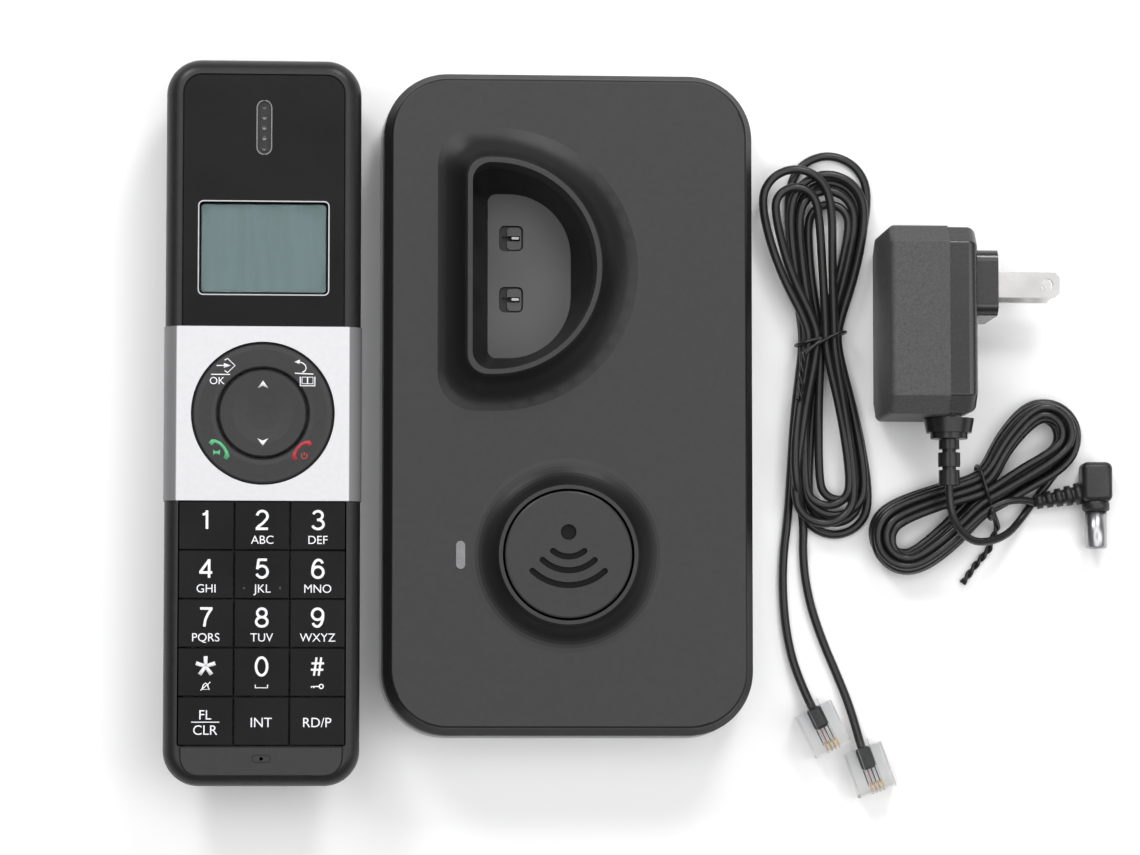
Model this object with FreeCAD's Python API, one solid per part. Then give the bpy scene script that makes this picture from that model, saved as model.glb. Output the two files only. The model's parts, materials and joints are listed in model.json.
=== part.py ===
import FreeCAD, Part
import math
import os

os.makedirs("parts", exist_ok=True)

Vector = FreeCAD.Vector
UP = Vector(0, 0, 1)

# ---- Driving dimensions, millimetres. The set lies on a table at z = 0. ----
HANDSET_W = 48.4  # across the front
HANDSET_L = 180.4  # earpiece end to charging end, along Y
HANDSET_T = 28.0  # front face to back
HANDSET_FRONT_R = 4.0  # rounded rim round the front face
HANDSET_BACK_R = 23.8  # the back is nearly a half circle
HANDSET_PLAN_R = 8.8  # corners seen from the front
HANDSET_END_R = 9.0  # back edge of both ends
HANDSET_SPLIT_Z = 15.0  # parting plane of the two shells
HANDSET_WALL = 1.8

BASE_W = 93.6
BASE_L = 167.0
BASE_PLAN_R = 16.5
BASE_TOP_Z = 22.0
BASE_SPLIT_Z = 6.0  # top of the silver bottom shell
BASE_WALL = 2.0
SKIRT_INSET = 0.45  # the bottom shell shows as a thin line round the skirt
SHOULDER_Z = 17.5  # the skirt leans in above this
SHOULDER_INSET = 2.4

ADAPTER_CASE_D = 15.0  # wall side to back, along X
ADAPTER_COVER_D = 7.2
ADAPTER_BOSS_D = 5.6
ADAPTER_L = 47.3  # along Y
ADAPTER_T = 34.0  # along Z, as it lies
ADAPTER_BEVEL = 4.2
BLADE_LENGTH = 16.5

GAP_HANDSET = 5.4  # handset to base
GAP_ADAPTER = 32.4  # base to adapter

ADAPTER_DEPTH = ADAPTER_CASE_D + ADAPTER_COVER_D + ADAPTER_BOSS_D + BLADE_LENGTH
SPAN_X = HANDSET_W + GAP_HANDSET + BASE_W + GAP_ADAPTER + ADAPTER_DEPTH
HANDSET_X = -SPAN_X / 2 + HANDSET_W / 2
BASE_X = HANDSET_X + HANDSET_W / 2 + GAP_HANDSET + BASE_W / 2
BASE_Y = 5.4
ADAPTER_X = BASE_X + BASE_W / 2 + GAP_ADAPTER
ADAPTER_Y = 26.0

# Handset front, measured from the handset's own centre line and middle.
BAND_TOP_Y = 23.3
BAND_BOTTOM_Y = -20.0
BAND_PROUD = 0.3
RING_Y = 1.7
RING_R = 17.4
RING_HOLE_R = 17.75
RING_INNER_R = 11.35
NAV_R = 10.84
KEY_PITCH_X = 13.73
KEY_PITCH_Y = 12.04
KEY_GAP = 0.22
KEYPAD_TOP_Y = BAND_BOTTOM_Y - 0.1
KEY_TRAVEL = 0.8
PLATE_HALF_W = 20.0
PLATE_TOP_Y = 86.2
PLATE_T = 1.0
LCD_W = 32.3
LCD_H = 23.4
LCD_Y = 42.8
EAR_Y = 72.9
EAR_W = 3.7
EAR_H = 13.6
MIC_Y = -83.5
PAD_SPACING = 15.6  # between the two charging contacts
PAD_DEPTH = 8.0  # behind the front face

# Base top, measured from the base's own centre.
POCKET_X = -9.15
POCKET_Y = 33.3
POCKET_W = 31.0
POCKET_L = 51.7
POCKET_FLOOR_Z = 6.0
POCKET_DRAFT = 5.0  # the floor is this much smaller all round
RIM_T = 1.6
RIM_Z = 30.0
FLARE_REACH = 8.1
FLARE_STRAIGHT = 0.46  # share of the rise spread evenly; the rest is a cubic
FLARE_LEFT = -1.4  # added to the reach on the flat side
FLARE_RIGHT = 1.1  # added on the round side
BUTTON_X = -0.5
BUTTON_Y = -38.3
BUTTON_R = 15.9
BUTTON_HOLE_R = 16.4
BUTTON_RING_R = 17.7
BUTTON_RING_Z = 26.4
BUTTON_FLARE_R = 24.3
SIGN_DOT_Y = 5.6  # the wave sign's dot, above the button's middle
SIGN_STROKE = 1.5
SIGN_ARCS = [(6.1, 3.9), (9.5, 6.5), (13.2, 9.0)]  # radius about the dot, half width
LED_X = -27.15
CONTACT_X = -13.75
CONTACTS_Y = 35.1  # middle of the two charging contacts

LINE_CORD_D = 2.2
LEAD_D = 2.0

KEY_NAMES = [
    ["1", "2", "3"],
    ["4", "5", "6"],
    ["7", "8", "9"],
    ["star", "0", "hash"],
    ["flash", "intercom", "redial"],
]


# ---- General shapes ----
def outline(x0, x1, y0, y1, radii, z=0.0):
    """Rounded rectangle wire; radii go anticlockwise from the low corner."""
    if not isinstance(radii, (list, tuple)):
        radii = [radii] * 4
    corners = [(x0, y0), (x1, y0), (x1, y1), (x0, y1)]
    turns = [(1, 0), (0, 1), (-1, 0), (0, -1)]
    edges = []
    ends = []
    for i, (corner, r) in enumerate(zip(corners, radii)):
        back, out = turns[i - 1], turns[i]
        start = Vector(corner[0] - back[0] * r, corner[1] - back[1] * r, z)
        end = Vector(corner[0] + out[0] * r, corner[1] + out[1] * r, z)
        centre = Vector(start.x + out[0] * r, start.y + out[1] * r, z)
        towards = Vector(corner[0], corner[1], z) - centre
        middle = centre + towards.normalize() * r if r > 0 else start
        ends.append((start, middle, end, r))
    for i, (start, middle, end, r) in enumerate(ends):
        if r > 0:
            edges.append(Part.Arc(start, middle, end).toShape())
        following = ends[(i + 1) % 4][0]
        if (following - end).Length > 1e-6:
            edges.append(Part.LineSegment(end, following).toShape())
    return Part.Wire(edges)


def centred(cx, cy, w, l, radii, z=0.0):
    return outline(cx - w / 2, cx + w / 2, cy - l / 2, cy + l / 2, radii, z)


def prism(wire, height):
    return Part.Face(wire).extrude(Vector(0, 0, height))


def slab(cx, cy, w, l, radii, z0, z1):
    return prism(centred(cx, cy, w, l, radii, z0), z1 - z0)


def box(x0, x1, y0, y1, z0, z1):
    return Part.makeBox(x1 - x0, y1 - y0, z1 - z0, Vector(x0, y0, z0))


def cylinder(x, y, z0, z1, r):
    return Part.makeCylinder(r, z1 - z0, Vector(x, y, z0))


def tube(x, y, z0, z1, r, inner):
    return cylinder(x, y, z0, z1, r).cut(cylinder(x, y, z0 - 1, z1 + 1, inner))


def fuse(shapes):
    whole = shapes[0]
    for shape in shapes[1:]:
        whole = whole.fuse(shape)
    return whole.removeSplitter()


def cut_all(shape, tools):
    for tool in tools:
        shape = shape.cut(tool)
    return shape


def edges_at(shape, z):
    """Edges that lie wholly in the plane z."""
    found = []
    for edge in shape.Edges:
        bounds = edge.BoundBox
        if abs(bounds.ZMin - z) < 1e-4 and abs(bounds.ZMax - z) < 1e-4:
            found.append(edge)
    return found


def revolve(points, x, y):
    """Solid of revolution about the vertical line at x, y from (r, z) points."""
    corners = [Vector(r, 0, z) for r, z in points]
    wire = Part.makePolygon(corners + [corners[0]])
    solid = Part.Face(wire).revolve(Vector(0, 0, 0), UP, 360)
    solid.translate(Vector(x, y, 0))
    return solid


def save(name, shape):
    """Write one node; a group of loose solids is kept as a compound."""
    solids = shape.Solids
    if not shape.isValid() or not solids:
        print("CHECK", name, "valid", shape.isValid(), "solids", len(solids))
    out = solids[0] if len(solids) == 1 else Part.makeCompound(solids)
    out.exportStep("parts/" + name + ".step")
    b = out.BoundBox
    place = (b.XMin, b.XMax, b.YMin, b.YMax, b.ZMin, b.ZMax)
    print(name, len(solids), "%.1f %.1f | %.1f %.1f | %.1f %.1f" % place)


def place(shape, x, y):
    shape.translate(Vector(x, y, 0))
    return shape


# ---- Handset ----
def handset_body(inset):
    """The whole handset form, drawn in by inset on every side."""
    w = HANDSET_W - 2 * inset
    l = HANDSET_L - 2 * inset
    z0, z1 = inset, HANDSET_T - inset
    form = slab(0, 0, w, l, HANDSET_PLAN_R - inset, z0, z1)
    form = form.makeFillet(HANDSET_FRONT_R - inset, edges_at(form, z1))
    back_r = HANDSET_BACK_R - inset
    section = outline(-w / 2, w / 2, z0, z1 + 1, (back_r, back_r, 0, 0))
    section.rotate(Vector(0, 0, 0), Vector(1, 0, 0), 90)
    form = form.common(Part.Face(section).extrude(Vector(0, HANDSET_L, 0)).fuse(
        Part.Face(section).extrude(Vector(0, -HANDSET_L, 0))))
    end_r = HANDSET_END_R - inset
    side = outline(-l / 2, l / 2, z0, z1 + 1, (end_r, end_r, 0, 0))
    side.rotate(Vector(0, 0, 0), Vector(1, 1, 1), 120)
    reach = Vector(HANDSET_W, 0, 0)
    ends = Part.Face(side).extrude(reach).fuse(Part.Face(side).extrude(-reach))
    return form.common(ends).removeSplitter()


def half_space(z0, z1, y0=-HANDSET_L, y1=HANDSET_L):
    return box(-HANDSET_W, HANDSET_W, y0, y1, z0, z1)


def key_centre(row, column):
    x = (column - 1) * KEY_PITCH_X
    y = KEYPAD_TOP_Y - (row + 0.5) * KEY_PITCH_Y
    return x, y


KEYPAD_W = 3 * KEY_PITCH_X + 0.3
KEYPAD_BOTTOM_Y = KEYPAD_TOP_Y - 5 * KEY_PITCH_Y
CHIN_BOTTOM_Y = KEYPAD_BOTTOM_Y - 7.4
DOOR_W = 32.0
DOOR_TOP_Y = -22.0


def handset_front_shell(body, cavity):
    shell = body.cut(cavity).common(half_space(HANDSET_SPLIT_Z, 40))
    band_cut = handset_body(-2.0).cut(handset_body(0.9))
    band_cut = band_cut.common(half_space(HANDSET_SPLIT_Z - 1, 40, BAND_BOTTOM_Y, BAND_TOP_Y))
    plate_y = (PLATE_TOP_Y + BAND_TOP_Y) / 2
    plate_l = PLATE_TOP_Y - BAND_TOP_Y
    plate_r = HANDSET_PLAN_R - HANDSET_FRONT_R
    top = HANDSET_T
    keypad_y = (KEYPAD_TOP_Y + KEYPAD_BOTTOM_Y) / 2
    chin_y = (KEYPAD_BOTTOM_Y + CHIN_BOTTOM_Y) / 2
    chin_l = KEYPAD_BOTTOM_Y - CHIN_BOTTOM_Y
    shell = cut_all(shell, [
        band_cut,
        slab(0, plate_y, 2 * PLATE_HALF_W + 0.3, plate_l + 0.3, (0, 0, plate_r, plate_r),
             top - PLATE_T, top + 1),
        slab(0, LCD_Y, LCD_W - 1.2, LCD_H - 1.2, 1.0, top - 4, top),
        slab(0, EAR_Y, EAR_W - 0.6, EAR_H - 0.6, (EAR_W - 0.6) / 2 - 0.01, top - 4, top),
        cylinder(0, RING_Y, top - 6, top + 2, RING_HOLE_R),
        slab(0, keypad_y, KEYPAD_W, 5 * KEY_PITCH_Y + 0.2, 0.6, top - 4, top + 1),
        slab(0, chin_y, 2 * PLATE_HALF_W, chin_l, (4.6, 4.6, 0, 0), top - 0.9, top + 1),
        slab(0, MIC_Y, 3.6, 1.4, 0.6, top - 4, top),
    ])
    pads = [box(s * PAD_SPACING / 2 - 2.6, s * PAD_SPACING / 2 + 2.6, -HANDSET_L, -HANDSET_L / 2 + 4,
                top - PAD_DEPTH - 2.5, top - PAD_DEPTH + 2.5) for s in (-1, 1)]
    shell = cut_all(shell, pads)
    for x, y in HANDSET_SCREWS:
        boss = cylinder(x, y, HANDSET_SPLIT_Z + 0.2, top - 1.2, 2.3)
        shell = shell.fuse(boss).cut(cylinder(x, y, 0, top - 3.0, 1.12))
    return shell.removeSplitter()


HANDSET_SCREWS = [(-15.0, 78.0), (15.0, 78.0), (-18.2, -12.0), (18.2, -12.0)]


def screw_seat_z(x):
    """Height of the outer back surface at this distance from the middle."""
    side = max(0.0, abs(x) - (HANDSET_W / 2 - HANDSET_BACK_R))
    return HANDSET_BACK_R - math.sqrt(HANDSET_BACK_R ** 2 - side ** 2)


def battery_door_region(gap):
    """Prism that cuts the door from the back; gap widens it for the opening."""
    half = DOOR_W / 2 + gap
    return box(-half, half, -HANDSET_L, DOOR_TOP_Y + gap, -1, HANDSET_SPLIT_Z - 0.8 + gap)


def handset_back_shell(body, cavity):
    shell = body.cut(cavity).common(half_space(-1, HANDSET_SPLIT_Z))
    shell = shell.cut(battery_door_region(0.25))
    for i in range(4):
        shell = shell.cut(slab(0, 56 + 3.2 * i, 12, 1.4, 0.6, -1, 5))
    shell = shell.fuse(battery_bay())
    for x, y in HANDSET_SCREWS:
        seat = screw_seat_z(x) + 2.2
        boss = cylinder(x, y, seat, HANDSET_SPLIT_Z, 3.2).common(body)
        shell = shell.fuse(boss)
        shell = shell.cut(cylinder(x, y, -1, seat + 1.4, 2.3))
        shell = shell.cut(cylinder(x, y, -1, HANDSET_SPLIT_Z + 1, 1.35))
    return shell.removeSplitter()


def battery_door(body):
    door = body.cut(handset_body(1.5)).common(battery_door_region(0.0))
    ridges = [box(-8, 8, -84 + 2.4 * i, -82.8 + 2.4 * i, -1, 0.5) for i in range(6)]
    return cut_all(door, ridges).removeSplitter()


def handset_screws():
    screws = []
    for x, y in HANDSET_SCREWS:
        seat = screw_seat_z(x) + 2.2
        head = cylinder(x, y, seat + 0.1, seat + 1.4, 2.1)
        head = head.cut(box(x - 1.2, x + 1.2, y - 0.3, y + 0.3, seat, seat + 0.7))
        head = head.cut(box(x - 0.3, x + 0.3, y - 1.2, y + 1.2, seat, seat + 0.7))
        shank = cylinder(x, y, seat + 1.4, HANDSET_T - 4.0, 1.1)
        screws.append(fuse([head, shank]))
    return Part.makeCompound(screws)


def silver_band():
    band = handset_body(-BAND_PROUD).cut(handset_body(0.9))
    band = band.common(half_space(HANDSET_SPLIT_Z, 40, BAND_BOTTOM_Y + 0.05, BAND_TOP_Y - 0.05))
    return band.cut(cylinder(0, RING_Y, 10, 40, RING_HOLE_R)).removeSplitter()


def face_plate():
    y = (PLATE_TOP_Y + BAND_TOP_Y) / 2
    l = PLATE_TOP_Y - BAND_TOP_Y - 0.1
    r = HANDSET_PLAN_R - HANDSET_FRONT_R - 0.1
    plate = slab(0, y, 2 * PLATE_HALF_W, l, (0, 0, r, r), HANDSET_T - PLATE_T, HANDSET_T)
    plate = plate.makeChamfer(0.18, edges_at(plate, HANDSET_T))
    plate = plate.cut(slab(0, LCD_Y, LCD_W, LCD_H, 1.3, 20, 40))
    return plate.cut(slab(0, EAR_Y, EAR_W, EAR_H, EAR_W / 2 - 0.01, 20, 40))


def earpiece_grille():
    r = EAR_W / 2 - 0.06
    grille = slab(0, EAR_Y, EAR_W - 0.1, EAR_H - 0.1, r, HANDSET_T - PLATE_T, HANDSET_T - 0.35)
    groove = slab(0, EAR_Y, EAR_W - 0.8, EAR_H - 0.8, r - 0.35, HANDSET_T - 0.65, HANDSET_T)
    bar = slab(0, EAR_Y, 1.8, EAR_H - 1.8, 0.88, HANDSET_T - PLATE_T, HANDSET_T)
    grille = grille.cut(groove.cut(bar))
    for i in range(5):
        hole = cylinder(0, EAR_Y + (i - 2) * 2.6, HANDSET_T - 2, HANDSET_T, 0.55)
        grille = grille.cut(hole)
    return grille


def chin_plate():
    y = (KEYPAD_BOTTOM_Y + CHIN_BOTTOM_Y) / 2
    l = KEYPAD_BOTTOM_Y - CHIN_BOTTOM_Y - 0.4
    chin = slab(0, y - 0.1, 2 * PLATE_HALF_W - 0.2, l, (4.5, 4.5, 0, 0), HANDSET_T - 0.9, HANDSET_T)
    chin = chin.makeChamfer(0.18, edges_at(chin, HANDSET_T))
    groove = slab(0, MIC_Y, 4.8, 2.1, 1.04, HANDSET_T - 0.4, HANDSET_T + 1)
    groove = groove.cut(slab(0, MIC_Y, 4.1, 1.4, 0.69, HANDSET_T - 1, HANDSET_T + 2))
    return chin.cut(groove).cut(cylinder(0, MIC_Y, HANDSET_T - 2, HANDSET_T + 1, 0.45))


def lcd_window():
    z = HANDSET_T
    window = slab(0, LCD_Y, LCD_W - 0.1, LCD_H - 0.1, 1.25, z - PLATE_T, z - 0.1)
    return window.makeChamfer(0.15, edges_at(window, z - 0.1))


BOARD_Z = 21.0
BOARD_T = 1.0
MAT_TOP_Z = BOARD_Z + BOARD_T + 0.7


def lcd_panel():
    panel = slab(0, LCD_Y, LCD_W + 1.4, LCD_H + 2.4, 0.5, BOARD_Z + BOARD_T, HANDSET_T - 2.2)
    ledge = slab(0, LCD_Y, LCD_W - 1.6, LCD_H - 1.6, 0.5, HANDSET_T - 2.3, HANDSET_T - 1.4)
    return fuse([panel, ledge])


def handset_circuit_board():
    board = slab(0, -11.5, 40.0, 139.0, 3.0, BOARD_Z, BOARD_Z + BOARD_T)
    for x, y in HANDSET_SCREWS:
        board = board.cut(cylinder(x, y, 10, 30, 2.7))
    shield = slab(0, 36, 26, 30, 1.5, BOARD_Z - 3.0, BOARD_Z)
    microphone = cylinder(0, MIC_Y + 5.2, BOARD_Z + BOARD_T, BOARD_Z + BOARD_T + 1.4, 2.0)
    chips = [slab(x, y, w, l, 0.3, BOARD_Z - 1.4, BOARD_Z) for x, y, w, l in
             [(-8, -5, 10, 10), (9, 4, 8, 12), (12, -40, 6, 9), (-11, -52, 9, 7)]]
    return fuse([board, shield, microphone] + chips)


def key_mat():
    """Elastomer mat with a dome under each key and under the navigation keys."""
    mat = slab(0, -28.8, 39.0, 103.0, 2.0, BOARD_Z + BOARD_T, MAT_TOP_Z)
    for x, y in HANDSET_SCREWS:
        mat = mat.cut(cylinder(x, y, 10, 30, 2.7))
    mat = mat.cut(cylinder(0, MIC_Y + 5.2, 10, 30, 2.2))
    domes = []
    for row in range(5):
        for column in range(3):
            x, y = key_centre(row, column)
            domes.append(Part.makeCone(2.4, 1.5, 0.9, Vector(x, y, MAT_TOP_Z - 0.05)))
    for sx in (-1, 1):
        for sy in (-1, 1):
            r = 15.7 / math.sqrt(2)
            domes.append(Part.makeCone(1.5, 1.0, 0.9, Vector(sx * r, RING_Y + sy * r, MAT_TOP_Z - 0.05)))
        domes.append(Part.makeCone(1.6, 1.1, 0.9, Vector(0, RING_Y + sx * 6, MAT_TOP_Z - 0.05)))
    return fuse([mat] + domes)


def key_cap(row, column):
    x, y = key_centre(row, column)
    w, l = KEY_PITCH_X - KEY_GAP, KEY_PITCH_Y - KEY_GAP
    cap = slab(x, y, w, l, 0.35, HANDSET_T - 2.2, HANDSET_T)
    cap = cap.makeChamfer(0.22, edges_at(cap, HANDSET_T))
    stem_bottom = MAT_TOP_Z + 0.85 + KEY_TRAVEL + 0.15
    return fuse([cap, cylinder(x, y, stem_bottom, HANDSET_T - 2.2, 1.8)])


def nav_disc():
    z = HANDSET_T
    dish = revolve([(0, z - 2.6), (NAV_R - 0.3, z - 2.6), (NAV_R, z - 2.3), (NAV_R, z - 0.3),
                    (NAV_R - 0.35, z), (7.5, z - 0.05), (4.0, z - 0.35), (0, z - 0.5)], 0, RING_Y)
    nubs = [cylinder(0, RING_Y + s * 6, z - 3.1, z - 2.6, 1.1) for s in (-1, 1)]
    return fuse([dish] + nubs)


def ring_key():
    z = HANDSET_T + 0.25
    inner, outer = RING_INNER_R, RING_R
    ring = revolve([(inner, z - 2.9), (outer, z - 2.9), (outer, z - 0.5), (outer - 0.4, z - 0.12),
                    (outer - 1.6, z), (inner + 1.4, z), (inner + 0.35, z - 0.12),
                    (inner, z - 0.45)], 0, RING_Y)
    nubs = []
    for sx in (-1, 1):
        for sy in (-1, 1):
            r = 15.7 / math.sqrt(2)
            nubs.append(cylinder(sx * r, RING_Y + sy * r, z - 3.15, z - 2.9, 0.9))
    return fuse([ring] + nubs)


def ring_web():
    """Thin rocking web between the ring key and the board."""
    return tube(0, RING_Y, MAT_TOP_Z + 0.7, MAT_TOP_Z + 1.5, 14.0, 12.2)


def earpiece_speaker():
    z = HANDSET_T - 1.9
    speaker = cylinder(0, EAR_Y, z - 4.2, z, 8.5)
    speaker = speaker.cut(tube(0, EAR_Y, z - 0.5, z + 1, 7.6, 3.0))
    magnet = cylinder(0, EAR_Y, z - 6.0, z - 4.2, 5.0)
    return fuse([speaker, magnet])


def ringer_speaker():
    return fuse([cylinder(0, 60.8, 3.4, 6.4, 8.0), cylinder(0, 60.8, 6.4, 8.4, 5.0)])


CELL_R = 5.25
CELL_L = 44.5
CELL_Y = -50.0
CELL_Z = 8.2
DECK_HALF_W = 22.6


def batteries():
    cells = []
    for s in (-1, 1):
        x = s * (CELL_R + 0.35)
        can = Part.makeCylinder(CELL_R, CELL_L - 1.0, Vector(x, CELL_Y - CELL_L / 2, CELL_Z), Vector(0, 1, 0))
        cap_y = CELL_Y + CELL_L / 2 - 1.0 if s > 0 else CELL_Y - CELL_L / 2 - 1.0
        cap = Part.makeCylinder(1.9, 1.0, Vector(x, cap_y, CELL_Z), Vector(0, 1, 0))
        cells.append(fuse([can, cap]))
    return Part.makeCompound(cells)


def battery_bay():
    """Open tray over the cells, facing the door, on a deck between the side walls."""
    half_w = 2 * CELL_R + 2.0
    y0, y1 = CELL_Y - CELL_L / 2 - 3.6, CELL_Y + CELL_L / 2 + 3.6
    top = CELL_Z + CELL_R + 0.3
    tray = box(-half_w, half_w, y0, y1, 5.2, top + 0.8)
    deck = box(-DECK_HALF_W, DECK_HALF_W, y0, y1, top, HANDSET_SPLIT_Z)
    tray = tray.fuse(deck).cut(box(-half_w + 1.2, half_w - 1.2, y0 + 1.2, y1 - 1.2, 0, top))
    return tray


def battery_contacts():
    """Sprung nickel strips at both ends of the cells."""
    y0, y1 = CELL_Y - CELL_L / 2 - 2.4, CELL_Y + CELL_L / 2 + 2.4
    strips = []
    for s in (-1, 1):
        x = s * (CELL_R + 0.35)
        for y, way in ((y0, 1), (y1, -1)):
            plate = box(x - 3.6, x + 3.6, min(y, y + way * 0.4), max(y, y + way * 0.4), 6.0, 13.0)
            bump_y = y + way * 0.4 if way > 0 else y - 1.2
            bump = Part.makeCylinder(1.6, 0.8, Vector(x, bump_y, CELL_Z), Vector(0, 1, 0))
            strips.append(fuse([plate, bump]))
    return Part.makeCompound(strips)


def handset_charge_pads():
    pads = []
    end = -HANDSET_L / 2
    z = HANDSET_T - PAD_DEPTH
    for s in (-1, 1):
        x = s * PAD_SPACING / 2
        pads.append(box(x - 2.6, x + 2.6, end + 0.3, end + 3.2, z - 2.5, z + 2.5))
    return Part.makeCompound(pads)


def build_handset():
    body = handset_body(0.0)
    cavity = handset_body(HANDSET_WALL)
    pieces = {
        "handset_front_shell": handset_front_shell(body, cavity),
        "handset_back_shell": handset_back_shell(body, cavity),
        "battery_door": battery_door(body),
        "handset_screws": handset_screws(),
        "silver_band": silver_band(),
        "face_plate": face_plate(),
        "earpiece_grille": earpiece_grille(),
        "chin_plate": chin_plate(),
        "lcd_window": lcd_window(),
        "lcd_panel": lcd_panel(),
        "handset_circuit_board": handset_circuit_board(),
        "key_mat": key_mat(),
        "nav_disc": nav_disc(),
        "ring_key": ring_key(),
        "ring_web": ring_web(),
        "earpiece_speaker": earpiece_speaker(),
        "ringer_speaker": ringer_speaker(),
        "batteries": batteries(),
        "battery_contacts": battery_contacts(),
        "handset_charge_pads": handset_charge_pads(),
    }
    for row, names in enumerate(KEY_NAMES):
        for column, name in enumerate(names):
            pieces["key_" + name] = key_cap(row, column)
    for name, shape in pieces.items():
        save(name, place(shape, HANDSET_X, 0))


# ---- Base ----
def base_plan(inset, z):
    return centred(0, 0, BASE_W - 2 * inset, BASE_L - 2 * inset, BASE_PLAN_R - inset, z)


def d_plan(grow, z, left=0.0, right=0.0):
    """D-shaped outline of the pocket, flat side at low X, grown by grow."""
    x0 = POCKET_X - POCKET_W / 2 - grow - left
    x1 = POCKET_X + POCKET_W / 2 + grow + right
    y0, y1 = POCKET_Y - POCKET_L / 2 - grow, POCKET_Y + POCKET_L / 2 + grow
    half = (y1 - y0) / 2
    back = min(half, x1 - x0 - 5.0) - 0.2
    front = 4.6 + 0.5 * grow
    return outline(x0, x1, y0, y1, (front, back, back, front), z)


def loft(wires, ruled=False):
    return Part.makeLoft(wires, True, ruled)


def flare_step(t):
    """Concave profile that leaves the top at a slant: height share, outward share left."""
    return FLARE_STRAIGHT * t + (1 - FLARE_STRAIGHT) * t ** 3, 1 - t ** 0.85


def collar():
    """Concave flare that rises to the lip round the pocket."""
    rise = RIM_Z - 1.5 - BASE_TOP_Z
    foot = RIM_T + FLARE_REACH + 1.2
    wires = [d_plan(foot, BASE_TOP_Z - 0.6, FLARE_LEFT, FLARE_RIGHT)]
    for i in range(6):
        up, out = flare_step(i / 5)
        grow = RIM_T + 0.05 + FLARE_REACH * out
        wires.append(d_plan(grow, BASE_TOP_Z + rise * up, FLARE_LEFT * out, FLARE_RIGHT * out))
    lip = prism(d_plan(RIM_T, BASE_TOP_Z - 0.4), RIM_Z - BASE_TOP_Z + 0.4)
    lip = lip.makeFillet(0.6, edges_at(lip, RIM_Z))
    return loft(wires).fuse(lip)


def button_mound():
    rise = BUTTON_RING_Z - BASE_TOP_Z
    reach = BUTTON_FLARE_R - BUTTON_RING_R
    points = [(0, BASE_TOP_Z - 1.0), (BUTTON_FLARE_R, BASE_TOP_Z - 1.0)]
    for i in range(9):
        up, out = flare_step(i / 8)
        points.append((BUTTON_RING_R + reach * out, BASE_TOP_Z + (rise - 0.4) * up))
    points += [(BUTTON_RING_R - 0.35, BUTTON_RING_Z), (0, BUTTON_RING_Z)]
    return revolve(points, BUTTON_X, BUTTON_Y)


BASE_SCREWS = [(-36.0, -68.0), (36.0, -68.0), (-36.0, 66.0), (36.0, 66.0)]
BASE_BOSS_R = 3.2
BASE_PILOT_R = 1.2  # screwed into
BASE_CLEAR_R = 1.4  # passed through
BASE_HEAD_R = 3.0
JACK_X = {"line": -16.0, "power": 16.0}
JACK_FACE_Y = BASE_L / 2 - 0.6
LINE_JACK_W = 13.0
POWER_JACK_W = 10.0
JACK_Z0 = 6.4
JACK_Z1 = 16.4


def base_top_shell():
    top = BASE_TOP_Z
    skirt = prism(base_plan(SKIRT_INSET, BASE_SPLIT_Z), SHOULDER_Z - BASE_SPLIT_Z)
    shoulder = loft([base_plan(SKIRT_INSET, SHOULDER_Z), base_plan(SHOULDER_INSET, top)], True)
    shoulder = shoulder.makeFillet(0.9, edges_at(shoulder, top))
    form = skirt.fuse(shoulder).removeSplitter()
    form = form.makeFillet(1.6, edges_at(form, SHOULDER_Z))
    form = form.fuse(collar()).fuse(button_mound())
    levels = [(2.2, BASE_SPLIT_Z - 0.1), (3.0, 16.0), (4.4, top - BASE_WALL)]
    inside = loft([base_plan(inset, z) for inset, z in levels], True)
    form = form.cut(inside)
    well = loft([d_plan(2.0 - POCKET_DRAFT, POCKET_FLOOR_Z - 2.0), d_plan(1.4, top - 0.5)], True)
    form = form.fuse(well)
    levels = [(-POCKET_DRAFT, POCKET_FLOOR_Z), (-0.4, top - 2), (0, RIM_Z + 0.1)]
    form = form.cut(loft([d_plan(grow, z) for grow, z in levels], True))
    form = form.cut(cylinder(BUTTON_X, BUTTON_Y, 10, 40, BUTTON_HOLE_R))
    form = form.cut(cylinder(BUTTON_X, BUTTON_Y, top - BASE_WALL - 0.2, top - 0.2, BUTTON_HOLE_R + 1.4))
    form = form.cut(slab(LED_X, BUTTON_Y, 2.5, 7.2, 1.24, 10, 40))
    for s in (-1, 1):
        y = CONTACTS_Y + s * PAD_SPACING / 2
        form = form.cut(slab(CONTACT_X, y, 6.1, 6.5, 1.4, 0, POCKET_FLOOR_Z + 1))
    for which, w in (("line", LINE_JACK_W), ("power", POWER_JACK_W)):
        x = JACK_X[which]
        form = form.cut(box(x - w / 2 - 0.1, x + w / 2 + 0.1, BASE_L / 2 - 8, BASE_L / 2 + 2,
                            JACK_Z0 - 0.1, JACK_Z1 + 0.1))
    for x, y in BASE_SCREWS:
        boss = cylinder(x, y, BASE_SPLIT_Z - 2.0, top - BASE_WALL + 0.5, BASE_BOSS_R)
        form = form.fuse(boss).cut(cylinder(x, y, 0, top - 4, BASE_PILOT_R))
    return form.removeSplitter()


def base_bottom_shell():
    tray = prism(base_plan(0, 1.0), BASE_SPLIT_Z - 1.0)
    tray = tray.makeChamfer(1.0, edges_at(tray, 1.0))
    tray = tray.cut(prism(base_plan(2.4, 2.9), 10))
    for x, y in BASE_SCREWS:
        tray = tray.fuse(cylinder(x, y, 2.0, BASE_SPLIT_Z - 2.0, 4.0))
        tray = cut_all(tray, [cylinder(x, y, 0, 2.9, BASE_HEAD_R), cylinder(x, y, 0, 10, BASE_CLEAR_R)])
    for x, y in foot_places():
        tray = tray.cut(cylinder(x, y, 0, 1.6, 5.2))
    for i in range(7):
        tray = tray.cut(slab(0, -15 - 4 * i, 24, 1.6, 0.7, 0, 4))
    return tray.removeSplitter()


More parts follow.
